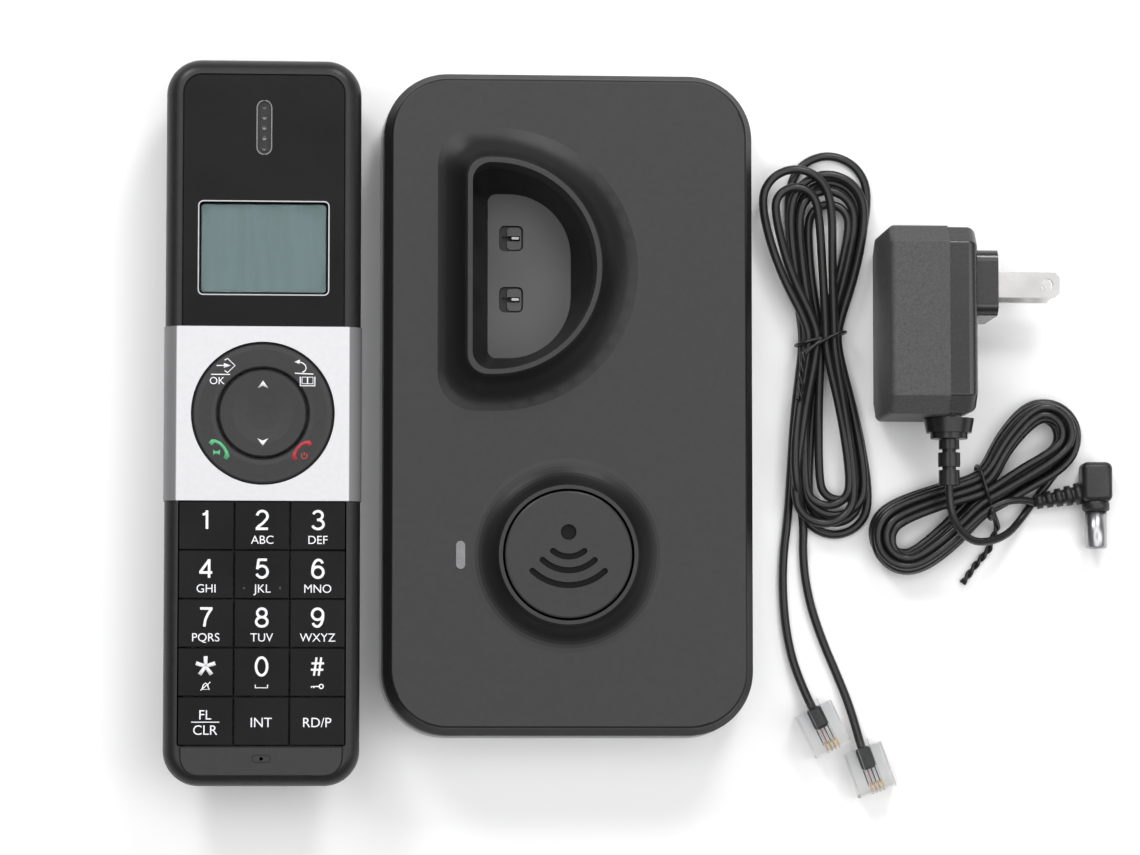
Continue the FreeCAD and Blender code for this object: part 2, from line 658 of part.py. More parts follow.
def foot_places():
    return [(sx * 34.0, sy * 54.0) for sx in (-1, 1) for sy in (-1, 1)]


def base_feet():
    feet = []
    for x, y in foot_places():
        foot = cylinder(x, y, 0, 1.6, 5.0)
        feet.append(foot.makeChamfer(0.3, edges_at(foot, 0)))
    return Part.makeCompound(feet)


def base_screws():
    screws = []
    for x, y in BASE_SCREWS:
        head = cylinder(x, y, 1.4, 2.9, 2.7)
        head = cut_all(head, [box(x - 1.6, x + 1.6, y - 0.35, y + 0.35, 1, 2.2),
                              box(x - 0.35, x + 0.35, y - 1.6, y + 1.6, 1, 2.2)])
        screws.append(fuse([head, cylinder(x, y, 2.9, BASE_TOP_Z - 6, 1.15)]))
    return Part.makeCompound(screws)


BASE_BOARD_Z = 10.0


def base_circuit_board():
    z0, z1 = BASE_BOARD_Z, BASE_BOARD_Z + 1.6
    board = slab(0, -38.5, 78.0, 69.0, 3.0, z0, z1)
    for x, y in BASE_SCREWS:
        board = board.cut(cylinder(x, y, 0, 30, 3.6))
    switch = fuse([slab(BUTTON_X, BUTTON_Y, 6, 6, 0.4, z1, z1 + 3.0),
                   cylinder(BUTTON_X, BUTTON_Y, z1 + 3.0, z1 + 3.8, 1.7)])
    lamp = slab(LED_X, BUTTON_Y, 3.0, 4.0, 0.4, z1, z1 + 1.2)
    shield = slab(18, -14, 28, 18, 1.0, z1, z1 + 2.6)
    cans = [cylinder(x, -60.0, z1, z1 + 6.0, 3.1) for x in (-24, -15, 22)]
    coil = tube(8, -64, z1, z1 + 3.6, 4.4, 1.4)
    return fuse([board, switch, lamp, shield, coil] + cans)


def status_light_pipe():
    pipe = slab(LED_X, BUTTON_Y, 2.4, 7.1, 1.19, BASE_BOARD_Z + 3.0, BASE_TOP_Z + 0.25)
    return pipe.makeFillet(0.2, edges_at(pipe, BASE_TOP_Z + 0.25))


def wave_arc(r, half_width):
    """Groove of the wave sign: an arc below the dot, with round ends."""
    x, y = BUTTON_X, BUTTON_Y + SIGN_DOT_Y
    z0, z1 = BUTTON_RING_Z - 1.3, BUTTON_RING_Z + 1
    ring = tube(x, y, z0, z1, r + SIGN_STROKE / 2, r - SIGN_STROKE / 2)
    half = math.asin(half_width / r)
    far = 2 * r
    corners = [Vector(x, y, z0)]
    for side in (-1, 1):
        corners.append(Vector(x + side * far * math.sin(half), y - far * math.cos(half), z0))
    corners.append(corners[0])
    wedge = Part.Face(Part.makePolygon(corners)).extrude(Vector(0, 0, z1 - z0))
    ends = [cylinder(x + side * half_width, y - r * math.cos(half), z0, z1, SIGN_STROKE / 2)
            for side in (-1, 1)]
    return fuse([ring.common(wedge)] + ends)


def wave_sign():
    dot = cylinder(BUTTON_X, BUTTON_Y + SIGN_DOT_Y, BUTTON_RING_Z - 1.3, BUTTON_RING_Z + 1, 1.95)
    return [dot] + [wave_arc(r, half_width) for r, half_width in SIGN_ARCS]


def page_button():
    z = BUTTON_RING_Z - 0.25
    flange_z = BASE_TOP_Z - BASE_WALL - 1.2
    rim = BUTTON_R
    cap = revolve([(0, flange_z - 1.6), (3.0, flange_z - 1.6), (3.0, flange_z), (rim + 1.0, flange_z),
                    (rim + 1.0, flange_z + 1.0), (rim, flange_z + 1.0), (rim, z - 0.5),
                    (rim - 0.15, z - 0.15), (rim - 0.5, z), (0, z)], BUTTON_X, BUTTON_Y)
    return cut_all(cap, wave_sign())


def contact_block():
    """Insulating block under the pocket floor with a slotted pad in each opening."""
    z = POCKET_FLOOR_Z - 2.0
    block = slab(CONTACT_X, CONTACTS_Y, 9.0, PAD_SPACING + 9.0, 1.0, z - 1.0, z)
    for s in (-1, 1):
        y = CONTACTS_Y + s * PAD_SPACING / 2
        block = block.fuse(slab(CONTACT_X, y, 5.9, 6.3, 1.3, z, z + 0.8))
        block = block.fuse(slab(CONTACT_X + 0.8, y, 3.6, 5.6, 0.9, z + 0.4, z + 1.6))
        block = block.cut(box(CONTACT_X - 2.2, CONTACT_X + 2.2, y - 0.65, y + 0.65, z - 2, z + 4))
    return block.removeSplitter()


def charge_contact(side):
    """Bent nickel strip that stands a little proud of the pocket floor."""
    y = CONTACTS_Y + side * PAD_SPACING / 2
    z = POCKET_FLOOR_Z
    strip = slab(CONTACT_X + 1.0, y, 2.0, 0.8, 0.2, z - 1.8, z + 0.7)
    return strip.makeFillet(0.18, edges_at(strip, z + 0.7))


def line_jack():
    """Modular line socket facing the back end of the base."""
    x, w = JACK_X["line"], LINE_JACK_W
    body = box(x - w / 2, x + w / 2, JACK_FACE_Y - 15, JACK_FACE_Y, JACK_Z0, JACK_Z1)
    z = (JACK_Z0 + JACK_Z1) / 2 + 0.8
    mouth = box(x - 4.95, x + 4.95, JACK_FACE_Y - 12.5, JACK_FACE_Y + 1, z - 3.5, z + 3.5)
    latch = box(x - 2.0, x + 2.0, JACK_FACE_Y - 12.5, JACK_FACE_Y + 1, z - 5.2, z - 3.4)
    body = body.cut(mouth).cut(latch)
    pins = [box(x - 1.6 + 1.02 * i, x - 1.3 + 1.02 * i, JACK_FACE_Y - 12.5, JACK_FACE_Y - 4,
                z + 2.9, z + 3.6) for i in range(4)]
    return fuse([body] + pins)


def power_jack():
    """Barrel socket with its centre pin."""
    x, w = JACK_X["power"], POWER_JACK_W
    body = box(x - w / 2, x + w / 2, JACK_FACE_Y - 14, JACK_FACE_Y, JACK_Z0, JACK_Z1)
    z = (JACK_Z0 + JACK_Z1) / 2
    bore = Part.makeCylinder(2.9, 11, Vector(x, JACK_FACE_Y - 10, z), Vector(0, 1, 0))
    pin = Part.makeCylinder(0.95, 9.5, Vector(x, JACK_FACE_Y - 10.5, z), Vector(0, 1, 0))
    return fuse([body.cut(bore), pin])


def build_base():
    pieces = {
        "base_top_shell": base_top_shell(),
        "base_bottom_shell": base_bottom_shell(),
        "base_feet": base_feet(),
        "base_screws": base_screws(),
        "base_circuit_board": base_circuit_board(),
        "status_light_pipe": status_light_pipe(),
        "page_button": page_button(),
        "contact_block": contact_block(),
        "charge_contact_1": charge_contact(1),
        "charge_contact_2": charge_contact(-1),
        "line_jack": line_jack(),
        "power_jack": power_jack(),
    }
    for name, shape in pieces.items():
        save(name, place(shape, BASE_X, BASE_Y))


# ---- Mains adapter, lying on its side with the blades along +X ----
BOSS_L = 16.6
BOSS_Y = 9.5  # above the middle of the adapter
BLADE_W = 6.35
BLADE_T = 1.5
BLADE_SPACING = 12.7
RELIEF_X = 17.0  # strain relief from the back face
RELIEF_STEPS = [  # start, radius and length of the collar, the core and its segments
    (3.5, 4.7, 1.6), (5.0, 1.75, 11.8), (5.3, 2.6, 2.4), (8.6, 2.8, 3.5), (13.0, 2.65, 3.8),
]


def flat_slab(x0, x1, y0, y1, z0, z1, r):
    """Slab whose rounded outline is seen along X."""
    wire = outline(y0, y1, z0, z1, r)
    wire.rotate(Vector(0, 0, 0), Vector(1, 1, 1), 120)
    solid = Part.Face(wire).extrude(Vector(x1 - x0, 0, 0))
    solid.translate(Vector(x0, 0, 0))
    return solid


def bevelled_slab(x0, x1, y0, y1, z0, z1):
    """Block whose four long edges along X are bevelled."""
    block = box(x0, x1, y0, y1, z0, z1)
    block = block.makeChamfer(ADAPTER_BEVEL, edges_along_x(block))
    return block.makeFillet(0.9, edges_along_x(block))


def edges_along_x(shape):
    return [e for e in shape.Edges if e.BoundBox.XLength > max(e.BoundBox.YLength, e.BoundBox.ZLength)]


def adapter_case():
    d, half = ADAPTER_CASE_D, ADAPTER_L / 2
    case = bevelled_slab(0, d, -half, half, 0, ADAPTER_T)
    back = [e for e in case.Edges if e.BoundBox.XMax < 1e-4]
    case = case.makeFillet(1.6, back)
    return case.cut(flat_slab(1.8, d + 1, 1.8 - half, half - 1.8, 1.8, ADAPTER_T - 1.8, 4.4))


def adapter_cover():
    d0 = ADAPTER_CASE_D
    d1 = d0 + ADAPTER_COVER_D
    half = ADAPTER_L / 2
    z = ADAPTER_T / 2
    cover = bevelled_slab(d0, d1, 0.3 - half, half - 0.3, 0.3, ADAPTER_T - 0.3)
    front = [e for e in cover.Edges if e.BoundBox.XMin > d1 - 1e-4]
    cover = cover.makeFillet(2.4, front)
    boss_z = BLADE_SPACING / 2 + BLADE_W / 2 + 3.4
    boss = flat_slab(d1 - 0.5, d1 + ADAPTER_BOSS_D, BOSS_Y - BOSS_L / 2, BOSS_Y + BOSS_L / 2,
                     z - boss_z, z + boss_z, 3.0)
    cover = cover.fuse(boss)
    cover = cover.cut(flat_slab(d0 - 1, d1 - 1.8, 2.1 - half, half - 2.1, 2.1, ADAPTER_T - 2.1, 4.2))
    for s in (-1, 1):
        blade_z = z + s * BLADE_SPACING / 2
        cover = cover.cut(box(d0 - 1, d1 + 20, BOSS_Y - BLADE_W / 2, BOSS_Y + BLADE_W / 2,
                              blade_z - BLADE_T / 2, blade_z + BLADE_T / 2))
    return cover.removeSplitter()


def adapter_blades():
    blades = []
    x0 = ADAPTER_CASE_D + 1.0
    x1 = ADAPTER_DEPTH
    for s in (-1, 1):
        z = ADAPTER_T / 2 + s * BLADE_SPACING / 2
        blade = box(x0, x1, BOSS_Y - BLADE_W / 2, BOSS_Y + BLADE_W / 2, z - BLADE_T / 2, z + BLADE_T / 2)
        tips = []
        for edge in blade.Edges:
            b = edge.BoundBox
            if b.XMin > x1 - 1e-4 and b.YMax - b.YMin < 1e-4:
                tips.append(edge)
        blade = blade.makeChamfer(1.2, tips)
        blade = blade.cut(cylinder(x1 - 3.2, BOSS_Y, z - 3, z + 3, 1.6))
        blades.append(blade)
    return Part.makeCompound(blades)


def adapter_board():
    x0 = 4.0
    board = box(x0, x0 + 1.6, -20.5, 20.5, 4.0, ADAPTER_T - 4.0)
    core = box(x0 + 1.6, x0 + 10.0, -13.0, 2.0, 8.0, ADAPTER_T - 8.0)
    can = Part.makeCylinder(4.0, 8.0, Vector(x0 + 1.6, -17.8 + 1.5, ADAPTER_T / 2 + 6.8), Vector(1, 0, 0))
    return fuse([board, core, can.cut(core)])


def adapter_strain_relief():
    """Shoulder, collar and a core with three thick segments, along -Y."""
    y = -ADAPTER_L / 2 - 0.2
    z = ADAPTER_T / 2
    down = Vector(0, -1, 0)
    pieces = [Part.makeCone(6.4, 5.7, 3.6, Vector(RELIEF_X, y, z), down)]
    for at, r, long in RELIEF_STEPS:
        pieces.append(Part.makeCylinder(r, long, Vector(RELIEF_X, y - at, z), down))
    return fuse(pieces)


def build_adapter():
    pieces = {
        "adapter_case": adapter_case(),
        "adapter_cover": adapter_cover(),
        "adapter_blades": adapter_blades(),
        "adapter_board": adapter_board(),
        "adapter_strain_relief": adapter_strain_relief(),
    }
    for name, shape in pieces.items():
        save(name, place(shape, ADAPTER_X, ADAPTER_Y))


# ---- Cords ----
def cord_path(points):
    """Straight runs joined by tangent arcs, each as large as its runs allow."""
    corners = [Vector(*p) for p in points]
    edges = []
    radii = []
    at = corners[0]
    for before, corner, after in zip(corners, corners[1:], corners[2:]):
        back = (before - corner)
        ahead = (after - corner)
        shorter = min(back.Length, ahead.Length)
        trim = 0.45 * shorter
        turn = math.pi - back.getAngle(ahead)
        radii.append(trim / math.tan(turn / 2))
        start = corner + back.normalize() * trim
        end = corner + ahead.normalize() * trim
        bisector = (back + ahead).normalize()
        centre_gap = math.hypot(radii[-1], trim)
        middle = corner + bisector * (centre_gap - radii[-1])
        edges.append(Part.LineSegment(at, start).toShape())
        edges.append(Part.Arc(start, middle, end).toShape())
        at = end
    edges.append(Part.LineSegment(at, corners[-1]).toShape())
    return Part.Wire(edges), radii


def cord_tube(name, points, d):
    path, radii = cord_path(points)
    start = Vector(*points[0])
    towards = (Vector(*points[1]) - start).normalize()
    ring = Part.Wire(Part.makeCircle(d / 2, start, towards))
    solid = path.makePipeShell([ring], True, True)
    expected = math.pi * d * d / 4 * path.Length
    print(name, "length %.1f" % path.Length, "radii", ["%.1f" % r for r in radii],
          "volume ratio %.3f" % (solid.Volume / expected))
    save(name, solid)


TAIL_A = [(45.6, -23.0, 1.3), (44.4, -32.0, 1.3), (44.3, -42.5, 1.3), (45.4, -53.0, 1.3),
          (47.9, -62.5, 1.9), (51.5, -70.5, 3.3)]
TAIL_B = [(49.8, -23.0, 1.3), (49.4, -32.5, 1.3), (50.9, -43.0, 1.3), (54.2, -53.0, 1.3),
          (58.3, -62.5, 1.3), (61.8, -71.5, 1.9), (64.0, -80.5, 3.3)]
PLUG_TILT = {"a": 26.6, "b": 20.0}  # degrees towards +X from straight down
PLUG_L = 11.8
PLUG_W = 9.65
PLUG_T = 6.6

LEAD_START = [(ADAPTER_X + RELIEF_X, -14.4, 17.0), (84.8, -19.6, 16.6), (86.9, -25.0, 14.8),
              (91.2, -28.6, 12.0), (96.6, -28.4, 9.0)]
LEAD_END = (108.6, -18.0, 3.4)  # where the lead enters the barrel plug's relief
DC_PLUG_X = 124.4
DC_PLUG_Y = -13.0
DC_PLUG_Z = 4.0


LINE_HANK_T = 6.8  # three layers of cord
LEAD_HANK_T = 8.2  # four layers of lead


def line_hank():
    """Outer shape of the line cord's hank: a waist at the tie, fanned ends."""
    points = [(56.4, 72.0), (66.4, 64.0), (67.6, 50.0), (60.6, 23.5), (64.6, 0.0), (67.0, -16.0),
              (57.6, -27.4), (46.6, -24.6), (43.4, -10.0), (47.4, 23.5), (38.6, 46.0), (42.0, 65.0)]
    curve = Part.BSplineCurve()
    curve.interpolate(Points=[Vector(x, y, 0.1) for x, y in points], PeriodicFlag=True)
    return prism(Part.Wire(curve.toShape()), LINE_HANK_T)


def lead_hank():
    """Outer shape of the adapter lead's hank."""
    points = [(116.0, 8.6), (120.0, 0.6), (114.6, -9.6), (101.0, -22.6), (90.0, -32.0), (76.0, -38.0),
              (67.4, -32.0), (68.0, -20.0), (80.0, -13.5), (90.6, -8.4), (102.0, 3.0), (109.0, 8.6)]
    curve = Part.BSplineCurve()
    curve.interpolate(Points=[Vector(x, y, 0.1) for x, y in points], PeriodicFlag=True)
    return prism(Part.Wire(curve.toShape()), LEAD_HANK_T)


def modular_plug(points, tilt):
    """Clear four-way line plug with its latch tab on top."""
    body = box(-PLUG_W / 2, PLUG_W / 2, -PLUG_L, 0, 0.2, PLUG_T)
    nose = [e for e in body.Edges if e.BoundBox.YMax < -PLUG_L + 1e-4]
    body = body.makeChamfer(0.7, [e for e in nose if e.BoundBox.XMax - e.BoundBox.XMin > 1])
    for i in range(4):
        x = -1.53 + 1.02 * i
        body = body.cut(box(x - 0.2, x + 0.2, -PLUG_L - 1, -PLUG_L + 5.0, 5.6, 10))
    tab = box(-1.6, 1.6, -PLUG_L + 1.0, 1.8, PLUG_T + 0.5, PLUG_T + 1.3)
    root = box(-1.6, 1.6, -PLUG_L + 0.8, -PLUG_L + 2.4, PLUG_T - 0.2, PLUG_T + 1.3)
    body = fuse([body, tab, root])
    body.rotate(Vector(0, 0, 0), UP, tilt)
    end = points[-1]
    body.translate(Vector(end[0], end[1], 0))
    return body


def dc_plug():
    """Right-angle barrel plug: moulded body, ribbed relief, barrel along -Y."""
    x, y, z = DC_PLUG_X, DC_PLUG_Y, DC_PLUG_Z
    body = slab(x, y, 8.0, 10.6, 2.0, 0.2, 8.0)
    body = body.makeFillet(0.8, edges_at(body, 8.0))
    end = Vector(*LEAD_END)
    root = Vector(x - 3.6, y - 2.6, z)
    axis = root - end
    relief = Part.makeCone(1.7, 2.7, axis.Length, end, axis)
    ribs = []
    for i in range(4):
        spot = end + axis * ((i + 0.6) / 5.0)
        ribs.append(Part.makeCylinder(2.2 + 0.2 * i, 1.1, spot, axis))
    collar_piece = Part.makeCylinder(3.5, 2.0, Vector(x, y - 5.2, z), Vector(0, -1, 0))
    barrel = Part.makeCylinder(2.75, 9.5, Vector(x, y - 7.2, z), Vector(0, -1, 0))
    bore = Part.makeCylinder(1.1, 9.0, Vector(x, y - 17.5, z), Vector(0, 1, 0))
    return fuse([body, relief, collar_piece, barrel] + ribs).cut(bore)


def tie_saddle(w, t):
    """Bent strip over a hank that is w wide and t thick."""
    saddle = box(-w / 2, w / 2, -1.9, 1.9, 0.1, t + 0.7)
    return saddle.cut(box(-w / 2 + 0.7, w / 2 - 0.7, -3, 3, -1, t + 0.1))


def cord_ties():
    """Twist ties over the two hanks."""
    first = tie_saddle(14.6, LINE_HANK_T)
    first.translate(Vector(54.0, 23.5, 0))
    second = tie_saddle(15.4, LEAD_HANK_T)
    second.rotate(Vector(0, 0, 0), UP, -62.5)
    second.translate(Vector(95.6, -15.6, 0))
    tail_1 = Part.makeCylinder(0.9, 16, Vector(46.6, 23.0, 1.1), Vector(-0.12, -1, 0))
    tail_2 = Part.makeCylinder(0.9, 15, Vector(99.6, -23.0, 1.1), Vector(-0.62, -0.78, 0))
    return Part.makeCompound([fuse([first, tail_1]), fuse([second, tail_2])])


def build_cords():
    save("line_cord_hank", line_hank())
    save("lead_hank", lead_hank())
    cord_tube("line_cord_tail_a", TAIL_A, LINE_CORD_D)
    cord_tube("line_cord_tail_b", TAIL_B, LINE_CORD_D)
    cord_tube("lead_start", LEAD_START, LEAD_D)
    plugs = [modular_plug(TAIL_A, PLUG_TILT["a"]), modular_plug(TAIL_B, PLUG_TILT["b"])]
    save("line_plugs", Part.makeCompound(plugs))
    save("dc_plug", dc_plug())
    save("cord_ties", cord_ties())


build_handset()
build_base()
build_adapter()
build_cords()
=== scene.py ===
import json
import math
import random

import bmesh
import bpy
from mathutils import Matrix, Vector


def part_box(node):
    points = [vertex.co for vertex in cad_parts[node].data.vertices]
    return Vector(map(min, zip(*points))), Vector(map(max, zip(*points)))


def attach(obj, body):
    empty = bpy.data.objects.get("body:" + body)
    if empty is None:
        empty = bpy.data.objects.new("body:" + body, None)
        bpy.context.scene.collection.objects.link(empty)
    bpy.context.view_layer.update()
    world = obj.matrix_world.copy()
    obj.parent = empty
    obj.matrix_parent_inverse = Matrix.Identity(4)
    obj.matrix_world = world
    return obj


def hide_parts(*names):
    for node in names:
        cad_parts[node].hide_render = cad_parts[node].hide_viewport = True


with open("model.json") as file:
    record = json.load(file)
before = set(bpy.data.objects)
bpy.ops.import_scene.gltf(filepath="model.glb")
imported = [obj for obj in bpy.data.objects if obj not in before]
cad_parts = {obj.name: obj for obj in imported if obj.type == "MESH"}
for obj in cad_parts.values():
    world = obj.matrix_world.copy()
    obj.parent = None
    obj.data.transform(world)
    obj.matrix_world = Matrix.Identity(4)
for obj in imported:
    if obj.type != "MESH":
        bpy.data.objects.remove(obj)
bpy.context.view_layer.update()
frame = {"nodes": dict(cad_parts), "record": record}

MM = 0.001
NODES = frame["nodes"]
BODY_OF = {n: b for b, ns in frame["record"]["behaviour"]["bodies"].items() for n in ns}
SLOT_OF = {s["node"]: s["material_slot"] for s in frame["record"]["subparts"]}
random.seed(7)


def middle(node):
    """Centre of a CAD node's box, in metres."""
    low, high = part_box(node)
    return (low + high) / 2


# ---------------------------------------------------------------- materials
def new_material(name, color, roughness, metallic=0.0, coat=0.0, coat_roughness=0.05,
                 specular=0.5, transmission=0.0, ior=1.45):
    m = bpy.data.materials.new(name)
    m.use_nodes = True
    shader = m.node_tree.nodes["Principled BSDF"]
    shader.inputs["Base Color"].default_value = (*color, 1.0)
    shader.inputs["Roughness"].default_value = roughness
    shader.inputs["Metallic"].default_value = metallic
    shader.inputs["Coat Weight"].default_value = coat
    shader.inputs["Coat Roughness"].default_value = coat_roughness
    shader.inputs["Specular IOR Level"].default_value = specular
    shader.inputs["Transmission Weight"].default_value = transmission
    shader.inputs["IOR"].default_value = ior
    return m


def node(m, kind, **values):
    n = m.node_tree.nodes.new(kind)
    for key, value in values.items():
        if key in n.inputs:
            n.inputs[key].default_value = value
        else:
            setattr(n, key, value)
    return n


def link(m, a, out, b, into):
    m.node_tree.links.new(a.outputs[out], b.inputs[into])


def noise(m, scale, detail=3.0, roughness=0.5, stretch=(1, 1, 1)):
    """Noise in object space, stretched along the axes; scale is features per metre."""
    place = node(m, "ShaderNodeTexCoord")
    mapping = node(m, "ShaderNodeMapping")
    mapping.inputs["Scale"].default_value = stretch
    pattern = node(m, "ShaderNodeTexNoise", Scale=scale, Detail=detail, Roughness=roughness)
    link(m, place, "Object", mapping, "Vector")
    link(m, mapping, "Vector", pattern, "Vector")
    return pattern


def vary_roughness(m, pattern, low, high):
    shader = m.node_tree.nodes["Principled BSDF"]
    spread = node(m, "ShaderNodeMapRange")
    spread.inputs["To Min"].default_value = low
    spread.inputs["To Max"].default_value = high
    link(m, pattern, "Fac", spread, "Value")
    link(m, spread, "Result", shader, "Roughness")


def color_ramp(m, pattern, dark, light, low=0.35, high=0.65):
    ramp = node(m, "ShaderNodeValToRGB")
    ramp.color_ramp.elements[0].position = low
    ramp.color_ramp.elements[0].color = (*dark, 1)
    ramp.color_ramp.elements[1].position = high
    ramp.color_ramp.elements[1].color = (*light, 1)
    link(m, pattern, 0, ramp, "Fac")
    return ramp


def vary_color(m, pattern, dark, light):
    ramp = color_ramp(m, pattern, dark, light)
    link(m, ramp, "Color", m.node_tree.nodes["Principled BSDF"], "Base Color")
    return ramp


def bump(m, pattern, strength, distance):
    shader = m.node_tree.nodes["Principled BSDF"]
    b = node(m, "ShaderNodeBump", Strength=strength, Distance=distance)
    link(m, pattern, "Fac", b, "Height")
    link(m, b, "Normal", shader, "Normal")


def paint_over(m, mask, color):
    """Paints color over whatever colour the shader has, where the mask is 1."""
    socket = m.node_tree.nodes["Principled BSDF"].inputs["Base Color"]
    under = socket.links[0].from_socket
    blend = node(m, "ShaderNodeMix", data_type="RGBA")
    blend.inputs["B"].default_value = (*color, 1)
    link(m, mask, 0, blend, "Factor")
    m.node_tree.links.new(under, blend.inputs["A"])
    m.node_tree.links.new(blend.outputs["Result"], socket)


def math_node(m, operation, a, b=0.0):
    """Math on a node's first output, or on a number."""
    n = node(m, "ShaderNodeMath", operation=operation)
    for i, value in enumerate((a, b)):
        if isinstance(value, (int, float)):
            n.inputs[i].default_value = value
        else:
            m.node_tree.links.new(value.outputs[0], n.inputs[i])
    return n


def picked_socket(m, split, axis):
    """One output of a separate-XYZ node as a node of its own."""
    picked = node(m, "ShaderNodeMath", operation="ADD")
    picked.inputs[1].default_value = 0.0
    m.node_tree.links.new(split.outputs["XYZ".index(axis)], picked.inputs[0])
    return picked


def object_axis(m, axis):
    """One coordinate of the surface point in the row frame."""
    place = node(m, "ShaderNodeTexCoord")
    split = node(m, "ShaderNodeSeparateXYZ")
    link(m, place, "Object", split, "Vector")
    return picked_socket(m, split, axis)


def step_mask(m, value, start, end):
    """0 before start and 1 after end."""
    ramp = node(m, "ShaderNodeMapRange")
    ramp.inputs["From Min"].default_value = start
    ramp.inputs["From Max"].default_value = end
    m.node_tree.links.new(value.outputs[0], ramp.inputs["Value"])
    return ramp


def lower_shine(m, mask, least):
    """Specular level that falls from its usual 0.5 to least where the mask is 1."""
    shine = step_mask(m, mask, 0.0, 1.0)
    shine.inputs["To Min"].default_value = 0.5
    shine.inputs["To Max"].default_value = least
    link(m, shine, "Result", m.node_tree.nodes["Principled BSDF"], "Specular IOR Level")


def moulded(name, dark, light, roughness, grain=0.0, grain_scale=9000.0, coat=0.0, specular=0.5):
    """Moulded plastic: a very faint mottle, uneven gloss and, where asked, a spark-eroded grain."""
    m = new_material(name, light, roughness, coat=coat, specular=specular)
    vary_color(m, noise(m, 700.0, 5.0, 0.65), dark, light)
    vary_roughness(m, noise(m, 500.0, 5.0), roughness * 0.88, roughness * 1.12)
    if grain > 0:
        bump(m, noise(m, grain_scale, 2.0, 0.6), grain, 0.00004)
    return m


def gloss(name, dark, light, roughness=0.09, coat=0.6, specular=0.5):
    m = new_material(name, light, roughness, coat=coat, specular=specular)
    vary_color(m, noise(m, 60.0, 3.0), dark, light)
    vary_roughness(m, noise(m, 900.0, 5.0), roughness * 0.8, roughness * 1.3)
    bump(m, noise(m, 2500.0, 3.0), 0.02, 0.00002)
    return m


def metal(name, dark, light, roughness, stretch=(1, 1, 1), metallic=1.0):
    m = new_material(name, light, roughness, metallic=metallic)
    vary_color(m, noise(m, 90.0, 4.0), dark, light)
    fine = noise(m, 2500.0, 4.0, 0.6, stretch)
    vary_roughness(m, fine, roughness * 0.8, roughness * 1.25)
    bump(m, fine, 0.05, 0.00002)
    return m


def grey(v):
    return (v, v, v * 1.03)


HALF_BAND_FRONT = 21.2 * MM
# painted shade: the darker grey of the band's cheeks where it curves away at the sides
CHEEK_PAINTED_SHADE = 0.17
SHOULDER_TOP = 21.4 * MM
POCKET_MIDDLE = middle("contact_block") + Vector((4.6 * MM, 0, 0))
POCKET_REACH = 34.0 * MM
POCKET_FLOOR = 6.0 * MM
# painted tones of the base's top: shade on the skirt and the slanting faces, light on the pocket floor
SKIRT_PAINTED_SHADE = 0.011
SLANT_PAINTED_SHADE = 0.009
# painted light: the paler grey of the pocket floor
POCKET_FLOOR_PAINTED_LIGHT = 0.110
FLAT_NORMAL, SLANT_NORMAL = 0.988, 0.93  # upward part of the normal where slant starts and is full
SLANT_SHADE_SHINE_CUT = 0.45
CONTACT_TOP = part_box("contact_block")[1].z


def band_silver():
    """Bright silver front, with the cheeks at the handset's sides painted darker: painted shade where the
    band curves away.
    """
    m = moulded("band_silver", grey(0.65), grey(0.68), 0.34, 0.05)
    x = object_axis(m, "X")
    from_middle = math_node(m, "ABSOLUTE", math_node(m, "SUBTRACT", x, middle("nav_disc").x))
    mask = step_mask(m, from_middle, HALF_BAND_FRONT, HALF_BAND_FRONT + 0.25 * MM)
    # the cheeks are painted dark: painted shade where the band curves away
    paint_over(m, mask, grey(CHEEK_PAINTED_SHADE))
    return m


def pocket_distance_squared(m):
    """Square of the distance from the pocket's middle, seen from above."""
    parts = []
    for axis, place in (("X", POCKET_MIDDLE.x), ("Y", POCKET_MIDDLE.y)):
        away = math_node(m, "SUBTRACT", object_axis(m, axis), place)
        parts.append(math_node(m, "MULTIPLY", away, away))
    return math_node(m, "ADD", parts[0], parts[1])


def slant_mask(m):
    """1 on slanting faces, such as the flares and the shoulder, and 0 on level ones."""
    surface = node(m, "ShaderNodeNewGeometry")
    split = node(m, "ShaderNodeSeparateXYZ")
    link(m, surface, "Normal", split, "Vector")
    upward = math_node(m, "ABSOLUTE", picked_socket(m, split, "Z"))
    return step_mask(m, upward, FLAT_NORMAL, SLANT_NORMAL)


